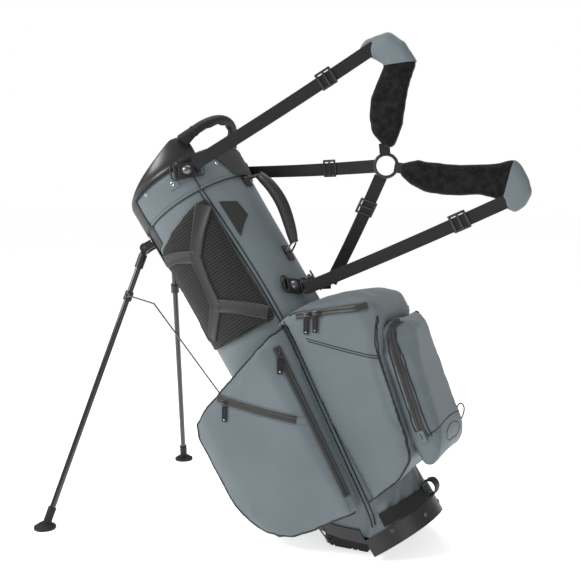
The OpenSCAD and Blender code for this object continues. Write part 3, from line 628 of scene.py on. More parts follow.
def skin_wave(angle, w):
    """Outward shift of the fabric in mm."""
    c, s = math.cos(math.radians(angle)), math.sin(math.radians(angle))
    shift = 0.9 * noise(Vector((c, s, w / 190)) * 1.6)
    for at, height, reach, deep in folds:
        slant = at + (w - height) * 0.3
        off = (angle - slant) / 3.6
        shift -= deep * math.exp(-off * off) * math.exp(-((w - height) / reach) ** 2)
    return shift


bpy.ops.object.select_all(action="DESELECT")
bpy.ops.mesh.primitive_grid_add(x_subdivisions=240, y_subdivisions=170, size=1)
skin = bpy.context.active_object
for vert in skin.data.vertices:
    angle = vert.co.x * 360
    low = skin_low(angle)
    w = low + (vert.co.y + 0.5) * (rim_w - 2 - low)
    vert.co = around(angle, w, skin_wave(angle, w)) * MM
tidy_normals(skin)
apply_modifier(skin, "SOLIDIFY", thickness=0.0025, offset=-1)
finish_piece(skin, "bag_skin", slate, stands_for=["tube_shell"])
print("skin", len(skin.data.polygons), "faces")

# %% [markdown]
# ## The cuff
# A thicker band is sewn round the mouth. Its lower edge is folded under, which gives a rounded
# lip and a shadow line. A lathe profile spun round the axis makes it.

# %% Cuff, rim and crowns
def lathe(profile, steps=192):
    """A profile of (radius, height) in mm spun once round the bag's axis."""
    mesh = bpy.data.meshes.new("lathe")
    edges = [(k, k + 1) for k in range(len(profile) - 1)]
    mesh.from_pydata([(r * MM, 0, w * MM) for r, w in profile], edges, [])
    obj = bpy.data.objects.new("lathe", mesh)
    bpy.context.scene.collection.objects.link(obj)
    edit(obj, (bpy.ops.mesh.spin, {"steps": steps, "angle": 2 * math.pi, "center": (0, 0, 0),
                                   "axis": (0, 0, 1)}))
    return tidy_normals(obj)


cuff_r = tube_r(cuff_low)
cuff = lathe([(cuff_r + 0.2, cuff_low + 1), (cuff_r + 2.0, cuff_low - 0.6), (cuff_r + 3.6, cuff_low + 0.6),
              (cuff_r + 4.2, cuff_low + 3), (cuff_r + 4.3, cuff_low + 8), (cuff_r + 5.2, cuff_low + 20),
              (cuff_r + 5.6, cuff_low + 40), (cuff_r + 5.4, rim_w - 3), (cuff_r + 4.0, rim_w + 0.5),
              (cuff_r + 0.2, rim_w + 0.5), (cuff_r + 0.2, cuff_low + 1)])
finish_piece(cuff, "cuff", slate, stands_for=["top_cuff"])

rim_out, rim_in = tube_r(rim_w) + 7, tube_r(rim_w) - 5
rim_top = 848
ring = lathe([(rim_in, rim_w), (rim_out - 2, rim_w), (rim_out, rim_w + 1.5), (rim_out, rim_w + 3),
              (rim_out - 1.4, rim_w + 3.8), (rim_out - 1.2, rim_w + 7), (rim_out - 3, rim_top),
              (rim_in + 2, rim_top), (rim_in, rim_top - 2), (rim_in, rim_w)])


def crown_top(u):
    """Height of the raised side wall above u, in mm up the bag."""
    xs = [-104, -78, -31, 0, 23, 46, 71, 88, 96]
    ws = [846, 853, 863, 871, 878, 887, 898, 896, 884]
    return float(np.interp(u, xs, ws))


def crown(side):
    """The swooping side wall that carries the handle, as a loft of upright sections."""
    rings = []
    start, end = 150, 41
    for k in range(61):
        angle = side * (start + (end - start) * k / 60)
        c, s = math.cos(math.radians(angle)), math.sin(math.radians(angle))
        outer, inner = rim_out - 0.6, rim_in + 1.5
        top = max(crown_top(outer * c), rim_top - 1)
        rise = top - rim_w
        lean_in = 0.10 * rise
        thick = outer - inner
        section = [(outer, rim_w + 5), (outer - lean_in * 0.35, rim_w + 5 + rise * 0.45),
                   (outer - lean_in - 1, top - 4), (outer - lean_in - 2.6, top - 1.2),
                   (outer - lean_in - thick * 0.5, top), (inner - lean_in * 0.4 + 2.4, top - 1.2),
                   (inner - lean_in * 0.4, top - 4), (inner, rim_w + 5)]
        rings.append([(r * c, r * s, w) for r, w in section])
    return apply_modifier(loft(rings), "SUBSURF", levels=1, render_levels=1)


rim = join([ring, crown(-1), crown(1)])
finish_piece(rim, "rim_and_crowns", crown_black, stands_for=["top_rim"], angle=50)
print("cuff and rim made")

# %% [markdown]
# ## The lift handle
# A rubber grip arches between the crowns. Finger waves run along its underside, and a raised
# ring marks each end of the grip.

# %% Lift handle
hoop_r, hoop_x, hoop_w, hoop_tilt = 106, 44, 864, math.radians(19)


def hoop(angle):
    a = math.radians(angle)
    x, y = hoop_r * math.cos(a), hoop_r * math.sin(a)
    return (Vector((hoop_x + x * math.cos(hoop_tilt), y, hoop_w + x * math.sin(hoop_tilt))),
            Vector((math.cos(a) * math.cos(hoop_tilt), math.sin(a), math.cos(a) * math.sin(hoop_tilt))))


rings = []
reach = 64
for k in range(161):
    angle = -reach + 2 * reach * k / 160
    centre, outward = hoop(angle)
    across = Vector((-math.sin(hoop_tilt), 0, math.cos(hoop_tilt)))
    size = 10.4 + 4.6 * max(0.0, (abs(angle) - 46) / 18) ** 1.5
    collar = 1.3 * math.exp(-((abs(angle) - 47) / 1.6) ** 2)
    wave = 1.9 * math.cos(math.radians(angle * 15)) if abs(angle) < 36 else 0.0
    section = []
    for j in range(24):
        a = 2 * math.pi * j / 24
        r = size + collar + (wave if math.cos(a) < -0.3 else 0.0) * abs(math.cos(a))
        section.append(centre + outward * (r * math.cos(a) * 0.92) + across * (r * math.sin(a)))
    rings.append(section)
handle = loft(rings)
finish_piece(handle, "lift_handle_grip", rubber, stands_for=["lift_handle"], angle=60)
print("handle made")

# %% [markdown]
# ## Padded pockets
# A pocket's panels are foam-backed, so they swell and their corners round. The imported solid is
# remeshed evenly, blown up a little as cloth under pressure, and smoothed. The shift of every
# point is capped, so that the pocket keeps its place.

# %% The padding recipe
def puffed(node, voxel, pressure, cap, rounds):
    """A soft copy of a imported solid, in the row frame."""
    source = frame["nodes"][node]
    soft = bpy.data.objects.new(node + "_soft", source.data.copy())
    bpy.context.scene.collection.objects.link(soft)
    edit(soft, (bpy.ops.mesh.remove_doubles, {"threshold": 0.00002}))
    apply_modifier(soft, "REMESH", mode="VOXEL", voxel_size=voxel)
    apply_modifier(soft, "SMOOTH", factor=0.5, iterations=rounds)
    rest = np.array([v.co for v in soft.data.vertices])
    alone(soft)
    cloth = soft.modifiers.new("Cloth", "CLOTH")
    cloth.settings.quality = 5
    cloth.settings.mass = 0.3
    cloth.settings.tension_stiffness = 12
    cloth.settings.compression_stiffness = 12
    cloth.settings.bending_stiffness = 0.5
    cloth.settings.use_pressure = True
    cloth.settings.uniform_pressure_force = pressure
    cloth.settings.effector_weights.gravity = 0
    cloth.point_cache.frame_start, cloth.point_cache.frame_end = 1, 20
    for step in range(1, 21):
        bpy.context.scene.frame_set(step)
    grown = soft.evaluated_get(bpy.context.evaluated_depsgraph_get())
    moved = np.array([v.co for v in grown.data.vertices])
    soft.modifiers.remove(cloth)
    bpy.context.scene.frame_set(1)
    shift = moved - rest
    size = np.linalg.norm(shift, axis=1, keepdims=True)
    shift *= np.minimum(1, cap / np.maximum(size, 1e-9))
    soft.data.vertices.foreach_set("co", (rest + shift).ravel())
    soft.data.update()
    apply_modifier(soft, "SMOOTH", factor=0.5, iterations=4)
    print(node, "largest shift", round(float(size.max()) * 1000, 1), "mm before the cap")
    return soft


near_pocket = finish_piece(puffed("side_pocket_near", 0.005, 4, 0.005, 5), "side_pocket_padded_near", slate,
                           stands_for=["side_pocket_near"], leaned=False, angle=80)
far_pocket = mirrored(near_pocket, "side_pocket_padded_far", stands_for=["side_pocket_far"])
cooler = finish_piece(puffed("cooler_pocket", 0.005, 4, 0.004, 5), "cooler_pocket_padded", slate,
                      stands_for=["cooler_pocket"], leaned=False, angle=80)
ball = finish_piece(puffed("ball_pocket", 0.005, 4, 0.005, 5), "ball_pocket_padded", slate,
                    stands_for=["ball_pocket"], leaned=False, angle=80)

# %% [markdown]
# ## Seams, piping and stitches
# Everything sewn follows the cloth under it, so its line is dropped on the finished surface
# first. Piping is a thin dark cord in a fold; a seam is the same, sunk deeper.

# %% Sewing helpers
def trees_of(*objects):
    """One search tree over several finished meshes."""
    verts, faces = [], []
    for obj in objects:
        base = len(verts)
        verts += [v.co.copy() for v in obj.data.vertices]
        faces += [tuple(base + k for k in p.vertices) for p in obj.data.polygons]
    return BVHTree.FromPolygons(verts, faces)


def cling(points, tree, lift, toward=None):
    """Points in mm moved to a surface, and its normals there. Along toward, or to the nearest."""
    back, turn = LEAN.inverted(), LEAN.to_3x3()
    spots, normals = [], []
    for p in points:
        hit = (None,)
        if toward:
            direction = (turn @ Vector(toward)).normalized()
            hit = tree.ray_cast(row(p) - direction * 0.12, direction)
        if hit[0] is None:
            hit = tree.find_nearest(row(p))
        normal = turn.transposed() @ hit[1]
        spot = (back @ hit[0]) / MM
        if toward and normal.dot(Vector(toward)) > 0:
            normal = -normal
        spots.append(spot)
        normals.append(normal)
    smooth = []
    for k in range(len(normals)):
        near = normals[max(0, k - 2):k + 3]
        smooth.append(sum(near, Vector()).normalized())
    return [s + n * lift for s, n in zip(spots, smooth)], smooth


def stitches(points, normals, pitch=4.2, length=2.6, thick=0.45, offset=0.0):
    """A row of raised threads along a line, as one mesh."""
    verts, faces = [], []
    lines = frames_along(points, normals)
    travelled, due = 0.0, pitch / 2
    for k in range(len(points) - 1):
        gap = (points[k + 1] - points[k]).length
        while due < travelled + gap:
            t = (due - travelled) / gap
            centre = points[k].lerp(points[k + 1], t) + lines[k][1] * offset
            d, side, out = lines[k]
            base = len(verts)
            for end in (-1, -0.6, 0.6, 1):
                fat = thick if abs(end) < 1 else thick * 0.2
                for a in range(6):
                    turn_a = a * math.pi / 3
                    verts.append((centre + d * (end * length / 2) + side * (fat * math.cos(turn_a))
                                  + out * (fat * math.sin(turn_a) * 0.8)) * MM)
            for r in range(3):
                faces += [(base + 6 * r + a, base + 6 * r + (a + 1) % 6, base + 6 * r + 6 + (a + 1) % 6,
                           base + 6 * r + 6 + a) for a in range(6)]
            faces += [tuple(base + a for a in range(6))[::-1], tuple(base + 18 + a for a in range(6))]
            due += pitch
        travelled += gap
    mesh = bpy.data.meshes.new("stitches")
    mesh.from_pydata(verts, [], faces)
    obj = bpy.data.objects.new("stitches", mesh)
    bpy.context.scene.collection.objects.link(obj)
    return obj


def shifted(points, normals, offset):
    return [p + side * offset for p, (_, side, _) in zip(points, frames_along(points, normals))]


body_tree = trees_of(skin, near_pocket, cooler, ball)
side_tree, cooler_tree, ball_tree = (trees_of(o) for o in (near_pocket, cooler, ball))

# %% [markdown]
# A double line of piping runs down the body from the strap hub to the cup, with a flat strip
# between its cords. The pockets have one cord round their outer panels.

# %% Piping
def piping(name, points, tree, radius=1.5, lift=0.3, toward=None, closed=False, mirror=True, step=5):
    line = smooth_line(points, step, closed)
    spots, normals = cling(line, tree, lift, toward)
    obj = finish_piece(tube(spots, radius, closed), name + "_near", binding, angle=80)
    if mirror:
        mirrored(obj, name + "_far")


spine = smooth_line([(72, -101, 772), (76, -96, 690), (79, -92, 600), (81, -93, 540), (83, -100, 470),
                     (79, -100, 407), (69, -100, 312), (59, -100, 218), (45, -100, 86), (37, -102, 50)], 5)
for tag, offset in (("lead", -5.5), ("trail", 2.5)):
    line = [p + Vector((offset, 0, 0)) for p in spine]
    spots, normals = cling(line, body_tree, 0.5, -facing)
    mirrored(finish_piece(tube(spots, 1.3), f"body_piping_{tag}_near", binding, angle=80),
               f"body_piping_{tag}_far")

side_outline = [(80, -98, 459), (64, -126, 452), (30, -150, 444), (0, -155, 438), (-63, -155, 421),
                (-128, -155, 401), (-179, -155, 375), (-193, -155, 315), (-195, -155, 271),
                (-192, -155, 226), (-176, -155, 175), (-156, -155, 145), (-104, -155, 101), (-86, -155, 97),
                (-18, -155, 88), (20, -153, 87), (40, -140, 88)]
piping("side_piping", side_outline, side_tree, radius=1.7, lift=0.5)

cooler_edge = [(262, -101, 376), (234, -101, 349), (215, -101, 309), (182, -101, 158), (168, -101, 123),
               (143, -101, 105), (100, -101, 95), (52, -101, 86)]
for tag, offset in (("inner", 0), ("outer", 7)):
    piping("cooler_piping_" + tag, [Vector(p) + Vector((offset, 0, -offset * 0.4)) for p in cooler_edge],
           cooler_tree, radius=1.3, lift=0.4)
for tag, offset in (("upper", 0), ("lower", -6)):
    line = [(108, -101, 414 + offset), (160, -101, 364 + offset), (216, -101, 313 + offset)]
    piping("cooler_seam_" + tag, line, cooler_tree, radius=0.9, lift=0.1, toward=-facing)
lid_edge = [(100, -101, 468), (130, -101, 464), (175, -101, 444), (221, -101, 424), (248, -101, 412)]
piping("cooler_lid_edge", lid_edge, cooler_tree, radius=1.5, lift=0.4)

ball_arch = [(198, -86, 147), (201, -86, 177), (217, -86, 245), (234, -86, 313), (247, -86, 342),
             (275, -86, 357), (297, -86, 360)]
piping("ball_arch_rear", ball_arch, ball_tree, radius=1.5, lift=0.5)
ball_front = [Vector(p) + Vector((22, 4, -5)) for p in ball_arch]
piping("ball_arch_front", ball_front, ball_tree, radius=1.3, lift=0.4)
piping("ball_low_seam", [(204, -84, 146), (222, -79, 147), (232, -60, 150), (236, -30, 152), (238, 0, 153)],
       ball_tree, radius=0.9, lift=0.1)
oval = [(250, 45 * math.cos(a), 116 + 20 * math.sin(a))
        for a in np.linspace(0, 2 * math.pi, 18, endpoint=False)]
piping("ball_oval", oval, ball_tree, radius=0.8, lift=0.0, closed=True, mirror=False)
print("piping sewn")

# %% [markdown]
# ## Zips
# Each zip is a pair of rubber-film lips that meet in a fine line, on a wider tape. Rows of
# stitches hold it to the panel. A short fabric patch covers its closed end.

# %% Zip bands
def zip_line(name, points, tree, toward=-facing, width=15, stitch=True):
    line = smooth_line(points, 4)
    spots, normals = cling(line, tree, 0.2, toward)
    parts = [band(spots, normals, width, 1.2)]
    for side in (-1, 1):
        lip = shifted(spots, normals, side * (width / 4 - 0.1))
        parts.append(band([p + n * 0.9 for p, n in zip(lip, normals)], normals, width / 2 - 0.9, 1.3, 0.5))
    lips = finish_piece(join(parts), name + "_near", zip_band)
    mirrored(lips, name + "_far")
    if stitch:
        rows = join([stitches([p + n * 0.5 for p, n in zip(spots, normals)], normals, 3.6, 2.2, 0.4, o)
                     for o in (-width / 2 - 2.6, width / 2 + 2.6)])
        mirrored(finish_piece(rows, name + "_stitches_near", binding), name + "_stitches_far")


zip_line("main_zip", [(63, -140, 424), (53, -140, 290), (38, -138, 124)], side_tree)
zip_line("small_zip", [(-92, -158, 401), (-30, -158, 342), (33, -158, 287)], side_tree)
lid_zip = [(114, -101, 460), (128, -101, 454), (175, -101, 433), (221, -101, 413), (250, -101, 401)]
zip_line("cooler_zip", lid_zip, cooler_tree)
zip_line("ball_zip", [Vector(p) + Vector((11, 2, -3)) for p in ball_arch], ball_tree, None, stitch=False)


def patch_band(name, points, tree, width, material, toward=-facing, thick=1.0, lift=0.4):
    spots, normals = cling(smooth_line(points, 4), tree, lift, toward)
    obj = finish_piece(band(spots, normals, width, thick), name + "_near", material)
    mirrored(obj, name + "_far")
    raised = [p + n * (thick / 2 + 0.1) for p, n in zip(spots, normals)]
    rows = join([stitches(raised, normals, 3.4, 2.0, 0.35, o) for o in (-width / 2 + 1.6, width / 2 - 1.6)])
    mirrored(finish_piece(rows, name + "_threads_near", binding), name + "_threads_far")


patch_band("main_zip_end", [(38, -138, 123), (34, -138, 96)], side_tree, 17, slate)
patch_band("small_zip_end", [(33, -158, 287), (48, -156, 272)], side_tree, 16, slate)
patch_band("ball_zip_garage", [(206, -86, 160), (203, -86, 138)], ball_tree, 15, slate, None, 2.0, 1.5)
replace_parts(bpy.data.objects["main_zip_near"], "zip_tapes")
print("zips made")

# %% [markdown]
# Each slider has a body with a wedge nose and a bridge. Its puller is a rubber tab with a
# raised frame, a metal ball at its foot and a small link at its top.

# %% Sliders and pullers
joint_of = {j["name"]: j for j in frame["joints"]}


def centre_of(obj):
    return sum((obj.matrix_world @ Vector(c) for c in obj.bound_box), Vector()) / 8


def local_frame(x, y, z, at):
    m = Matrix((x, y, z)).transposed().to_4x4()
    m.translation = at
    return m


def block(size, at, bevel):
    bpy.ops.object.select_all(action="DESELECT")
    bpy.ops.mesh.primitive_cube_add(size=1)
    obj = bpy.context.active_object
    obj.data.transform(Matrix.Translation(Vector(at) * MM) @ Matrix.Diagonal((*(Vector(size) * MM), 1)))
    return apply_modifier(obj, "BEVEL", width=bevel * MM, segments=3, limit_method="NONE")


def ball_at(at, radius):
    bpy.ops.object.select_all(action="DESELECT")
    bpy.ops.mesh.primitive_uv_sphere_add(segments=20, ring_count=12, radius=radius * MM)
    obj = bpy.context.active_object
    obj.data.transform(Matrix.Translation(Vector(at) * MM))
    return obj


def make_pull(prefix, slide_joint, slider_body):
    swing = joint_of[prefix.replace("slider", "puller") + "_swing"]
    out = Vector(swing["axis"]).normalized()
    post = Vector(swing["pos_m"])
    if out.dot(Vector((post.x, post.y, 0)) - Vector((hinge.x - 0.2, 0, 0))) < 0:
        out = -out
    slide = Vector(joint_of[slide_joint]["axis"]).normalized()
    slider = frame["nodes"][prefix]
    puller = frame["nodes"][prefix.replace("slider", "puller")]
    c = centre_of(slider)
    slide = (slide - out * slide.dot(out)).normalized()
    lift = (c - post).dot(out)
    seat = post + out * lift
    side = out.cross(slide)
    bridge = smooth_line([(0, -5.5, 0.6), (0, -3.6, 3.4), (0, 0, 4.2), (0, 3.6, 3.4), (0, 5.5, 0.6)], 0.8)
    body = join([block((9, 15, 2.0), (0, 0, -1.6), 0.9), block((7.4, 12, 1.6), (0, 0, 0.6), 0.7),
                 tube(bridge, 1.1)])
    body.data.transform(local_frame(side, slide, out, seat))
    finish_piece(body, prefix + "_body", leg_paint, slider_body, [prefix], leaned=False)
    down = centre_of(puller) - post
    down = (down - out * down.dot(out)).normalized()
    width = down.cross(out)
    wire = [(0, 0, 0.6), (2.6, 3.4, 0.6), (2.4, 8, 0), (-2.4, 8, 0), (-2.6, 3.4, 0.6)]
    link = tube(smooth_line(wire, 0.8, True), 0.9, True)
    tab = block((10.6, 30, 2.8), (0, 21.5, -0.2), 1.35)
    rim_points = [(-3.4, 9.5, 1.3), (3.4, 9.5, 1.3), (3.6, 22, 1.3), (3.2, 28.5, 1.3), (-3.2, 28.5, 1.3),
                  (-3.6, 22, 1.3)]
    lip = tube(smooth_line(rim_points, 1.2, True), 0.55, True)
    if width.cross(down).dot(out) < 0:
        width = -width
    lever = local_frame(width, down, width.cross(down), post + out * (centre_of(puller) - post).dot(out))
    for obj in (link, tab, lip):
        obj.data.transform(lever)
    name = prefix.replace("slider", "puller")
    finish_piece(join([tab, lip]), name + "_tab", rubber, name, [name], leaned=False)
    finish_piece(link, name + "_link", leg_paint, name, leaned=False)
    bead = ball_at((0, 32, 1.2), 1.9)
    bead.data.transform(lever)
    finish_piece(bead, name + "_bead", bright, name, leaned=False)


for s in sides:
    for kind in ("main", "small"):
        make_pull(f"{kind}_slider_{s}", f"{kind}_slider_{s}_slide", f"{kind}_slider_{s}")
make_pull("cooler_slider", "cooler_slider_slide", "cooler_slider")
make_pull("cooler_stop_slider", "cooler_slider_slide", "bag")
print("sliders made")

# %% [markdown]
# ## The hip pads
# A knitted mesh pad lies on each side of the tube. A moulded leatherette frame crosses it: one
# long bar with two arms at each end, and a narrow binding round the edge.

# %% Hip pads
pad_mesh = puffed("hip_pad_near", 0.004, 3, 0.003, 3)
wrap_uv(pad_mesh)
finish_piece(pad_mesh, "hip_mesh_near", knit, stands_for=["hip_pad_near"],
             leaned=False, angle=80)
far_mesh = mirrored(pad_mesh, "hip_mesh_far", stands_for=["hip_pad_far"])
pad_tree = trees_of(pad_mesh)


def on_side(u, w, lift=0.0):
    """A point on the near side of the tube above (u, w), in mm."""
    r = tube_r(w) + lift
    return Vector((u, -math.sqrt(max(r * r - u * u, 1)), w))


upper_knot, lower_knot = (2, 662), (-12, 560)


def frame_bar(points, widths, thick=3.2):
    """A moulded bar over the mesh, its width changing along it."""
    line = smooth_line([on_side(u, w, 8) for u, w in points], 4)
    spots, normals = cling(line, pad_tree, 0.6, None)
    rings = []
    n = len(spots)
    for k, (p, (_, side, out)) in enumerate(zip(spots, frames_along(spots, normals))):
        half = np.interp(k / (n - 1), np.linspace(0, 1, len(widths)), widths) / 2
        section = [(-half, -2), (half, -2), (half + 0.3, thick * 0.3), (half - 1, thick * 0.85),
                   (half - 2.4, thick), (half - 3.4, thick * 0.75), (-half + 3.4, thick * 0.75),
                   (-half + 2.4, thick), (-half + 1, thick * 0.85), (-half - 0.3, thick * 0.3)]
        rings.append([p + side * a + out * b for a, b in section])
    return loft(rings)


bars = [frame_bar([upper_knot, (-5, 612), lower_knot], (26, 20, 26)),
        frame_bar([(66, 742), (34, 702), upper_knot], (34, 27, 26)),
        frame_bar([(-76, 700), (-38, 686), upper_knot], (27, 24, 26)),
        frame_bar([lower_knot, (-40, 534), (-66, 513)], (26, 24, 24)),
        frame_bar([lower_knot, (30, 530), (68, 494)], (26, 26, 27))]
hip_frame = finish_piece(join(bars), "hip_frame_near", leatherette)
mirrored(hip_frame, "hip_frame_far")
edge = [(66, 748), (73, 735), (73, 600), (72, 484), (40, 478), (-20, 484), (-78, 494), (-83, 510),
        (-82, 600), (-81, 700), (-70, 720), (0, 741), (40, 750)]
hip_edge, _ = cling(smooth_line([on_side(u, w, 5) for u, w in edge], 4, True), pad_tree, 0.3)
mirrored(finish_piece(tube(hip_edge, 1.8, True), "hip_binding_near", leatherette, angle=80),
         "hip_binding_far")
print("hip pads made")

# %% [markdown]
# ## Panels on the cuff
# The cuff has a leather strip down its leg side, a plain dark panel at its harness side, a row
# of stitches over its lower seam and a square patch with an eyelet.

# %% Cuff panels
def cuff_lift(w):
    return np.interp(w, (730, cuff_low - 2, cuff_low + 1, rim_w), (1.0, 1.2, 6.0, 6.6))


def curved_patch(corners, lift, thick, steps=(24, 24)):
    """A panel on the tube between four (angle, height) corners, with a soft edge."""
    (a, b, c, d) = corners
    verts, faces = [], []
    for i in range(steps[0] + 1):
        for j in range(steps[1] + 1):
            s, t = i / steps[0], j / steps[1]
            top = (b[0] + (c[0] - b[0]) * s, b[1] + (c[1] - b[1]) * s)
            low = (a[0] + (d[0] - a[0]) * s, a[1] + (d[1] - a[1]) * s)
            angle, w = low[0] + (top[0] - low[0]) * t, low[1] + (top[1] - low[1]) * t
            verts.append(around(angle, w, lift(w)) * MM)
    for i in range(steps[0]):
        for j in range(steps[1]):
            k = i * (steps[1] + 1) + j
            faces.append((k, k + 1, k + steps[1] + 2, k + steps[1] + 1))
    mesh = bpy.data.meshes.new("patch")
    mesh.from_pydata(verts, [], faces)
    obj = bpy.data.objects.new("patch", mesh)
    bpy.context.scene.collection.objects.link(obj)
    tidy_normals(obj)
    apply_modifier(obj, "SOLIDIFY", thickness=thick * MM, offset=0)
    return apply_modifier(obj, "BEVEL", width=thick * 0.35 * MM, segments=2, limit_method="ANGLE")


finish_piece(curved_patch([(121, 733), (121, 841), (239, 841), (239, 733)], cuff_lift, 2.4),
             "cuff_leg_strip", leatherette)
finish_piece(curved_patch([(-15, 774), (-31, 835), (31, 835), (15, 774)], lambda w: 6.4, 1.8),
             "cuff_front_panel", leatherette)
finish_piece(curved_patch([(-79, 801), (-79, 823), (-69, 823), (-69, 801)], lambda w: 6.2, 1.2, (6, 6)),
             "eyelet_patch", slate)
eye = around(-74, 812, 7.2)
eye_out = Vector((math.cos(math.radians(-74)), math.sin(math.radians(-74)), 0))
eye_side = eye_out.cross(Vector((0, 0, 1)))
loop = [eye + eye_side * (3.4 * math.cos(a)) + Vector((0, 0, 1)) * (3.4 * math.sin(a))
        for a in np.linspace(0, 2 * math.pi, 20, endpoint=False)]
finish_piece(tube(loop, 1.0, True), "eyelet_ring", bright)

seam = [around(a, cuff_low + 5, 5.0) for a in np.arange(-134, -24, 2)]
seam_out = [Vector((p.x, p.y, 0)).normalized() for p in seam]
mirrored(finish_piece(stitches(seam, seam_out, 3.6, 2.2, 0.4), "cuff_stitches_near", binding),
         "cuff_stitches_far")
for tag, w, lift, radius in (("low", cuff_low - 1.2, 1.2, 1.5), ("top", rim_w - 1.5, 6.6, 1.3)):
    finish_piece(tube([around(a, w, lift) for a in range(0, 360, 3)], radius, True), f"cuff_{tag}_line",
                 binding, angle=80)
mirrored(finish_piece(tube([around(-54.5, w, 6.0) for w in range(776, 818, 3)], 1.2), "cuff_side_line_near",
                        binding), "cuff_side_line_far")
print("cuff trimmed")

# %% [markdown]
# ## Handles, straps and pads
# The padded carry handle is an arched roll of leatherette with two long seams. A black wire loop
# holds each end to a sewn tab.

# %% Carry handle
arch = smooth_line([(tube_r(592) + 24, 0, 600), (tube_r(640) + 36, 0, 640), (tube_r(681) + 44, 0, 681),
                    (tube_r(722) + 42, 0, 722), (tube_r(755) + 32, 0, 757)], 3)
rings = []
for k, (p, (d, side, out)) in enumerate(zip(arch, frames_along(arch, (1, 0, 0)))):
    t = k / (len(arch) - 1)
    fat = 0.72 + 0.28 * math.sin(math.pi * min(max(t * 1.1 - 0.05, 0), 1)) ** 0.5
    section = []
    for j in range(28):
        a = 2 * math.pi * j / 28
        groove = 1 - 0.12 * math.exp(-((math.degrees(a) % 180 - 55) / 9) ** 2)
        size = fat * groove
        section.append(p + side * (11.5 * size * math.cos(a)) + out * (13 * size * math.sin(a)))
    rings.append(section)
carry_roll = finish_piece(loft(rings), "carry_roll", soft_black,
                          stands_for=["carry_handle"], angle=70)
for tag, w, end in (("low", 590, arch[0]), ("high", 768, arch[-1])):
    base = around(0, w, 1.5)
    mid = (base + end) / 2
    sides_of_loop = [(base, -12), (mid, -13), (end, -8), (end, 8), (mid, 13), (base, 12)]
    loop = smooth_line([at + Vector((0, v, 0)) for at, v in sides_of_loop], 2, True)
    finish_piece(tube(loop, 1.9, True), "carry_loop_" + tag, leg_paint, angle=80)
    tab = smooth_line([around(0, w - 18, 1.6), around(0, w, 2.0), around(0, w + 16, 1.6)], 3)
    finish_piece(band(tab, (1, 0, 0), 24, 2.4), "carry_tab_" + tag, soft_black)
print("carry handle made")

# %% [markdown]
# A strap is flat webbing. Past its adjuster it is doubled, and a little turn and sag keep its
# line from looking ruled. The two far straps turn in at their ends, to meet their hubs.

# %% Harness straps
ring_at = Vector((388, 0, 618))


def strap(name, start, end, adjuster_at, stands_for, hook=None):
    a, b = Vector(start), Vector(end)
    run = (b - a).normalized()
    length = (b - a).length
    steps = np.linspace(0, 1, 40)
    line = [a.lerp(b, t) + Vector((0, 0, -2.2)) * math.sin(math.pi * t) for t in steps]
    faces = [(facing + run.cross(facing) * 0.05 * math.sin(5 * t)).normalized() for t in steps]
    main = band(line, faces, 25, 1.9)
    first = int(39 * adjuster_at / length)
    under = [p - f * 2.0 for p, f in zip(line[first:], faces[first:])]
    parts = [main, band(under, faces[first:], 24.4, 1.5)]
    turn_in = [Vector(hook).lerp(a, t) for t in np.linspace(0, 1, 9)] if hook else []
    if hook:
        parts.append(band(turn_in, [facing] * 9, 25, 1.9))
    both = join(parts)
    both.data.transform(LEAN)
    scatter_uv(both, turn_in + line, [facing] * len(turn_in) + faces)
    finish_piece(both, name, web, stands_for=[stands_for], leaned=False)
    return a, run


def adjuster(a, run, at):
    """A ladder-lock: a frame with three bars."""
    y = facing
    x = run.cross(y).normalized()
    place = local_frame(x, run, y, (a + run * at) * MM)
    parts = [block((4.5, 33, 6), (-15, 17, 0), 1.6), block((4.5, 33, 6), (15, 17, 0), 1.6)]
    parts += [block((31, 5, 4.6), (0, t, 2.2), 1.5) for t in (3, 17, 31)]
    obj = join(parts)
    obj.data.transform(place)
    return obj


specs = [("upper_near", (98, -121, 816), (492, -14, 812), 285, None),
         ("lower_near", (140, -58, 500), (560, -14, 432), 305, None),
         ("upper_far", (92, 112, 808), None, 210, (74, 114, 818)),
         ("lower_far", (146, 52, 498), None, 164, (122, 36, 512))]
locks = []
for tag, start, end, at, hook in specs:
    stop = Vector(end) if end else ring_at - (ring_at - Vector(start)).normalized() * 24
    a, run = strap("webbing_" + tag, start, stop, at, "strap_" + tag, hook)
    locks.append(adjuster(a, run, at))
finish_piece(join(locks), "ladder_locks", plastic, stands_for=["strap_adjusters"])
print("straps made")

# %% [markdown]
# The harness meets in a flat ring. Each shoulder pad is foam with black pile inside and coated
# fabric over its outer tip, bound round the edge.

# %% Shoulder pads
pads = {"upper": [(410, 642), (424, 634), (458, 658), (502, 706), (541, 740), (543, 786), (532, 818),
                  (512, 828), (484, 837), (466, 830), (480, 800), (488, 776), (456, 755), (432, 737),
                  (412, 709), (402, 680)],
        "lower": [(415, 602), (446, 591), (480, 563), (509, 539), (555, 509), (594, 490), (598, 478),
                  (597, 449), (590, 424), (570, 411), (550, 409), (540, 420), (536, 440), (508, 470),
                  (477, 488), (454, 505), (426, 533), (412, 560), (405, 586)]}
tips = {"upper": ((516, -6, 757), (0.5, 0, 0.87)), "lower": ((566, -6, 463), (0.68, 0, -0.73))}


def half_of(obj, at, normal):
    """The part of a closed mesh on the normal's side of a plane, open at the cut."""
    turn = LEAN.to_3x3()
    alone(obj)
    bpy.ops.object.mode_set(mode="EDIT")
    bpy.ops.mesh.select_all(action="SELECT")
    bpy.ops.mesh.bisect(plane_co=row(at), plane_no=turn @ Vector(normal), clear_inner=True)
    bpy.ops.object.mode_set(mode="OBJECT")
    return obj


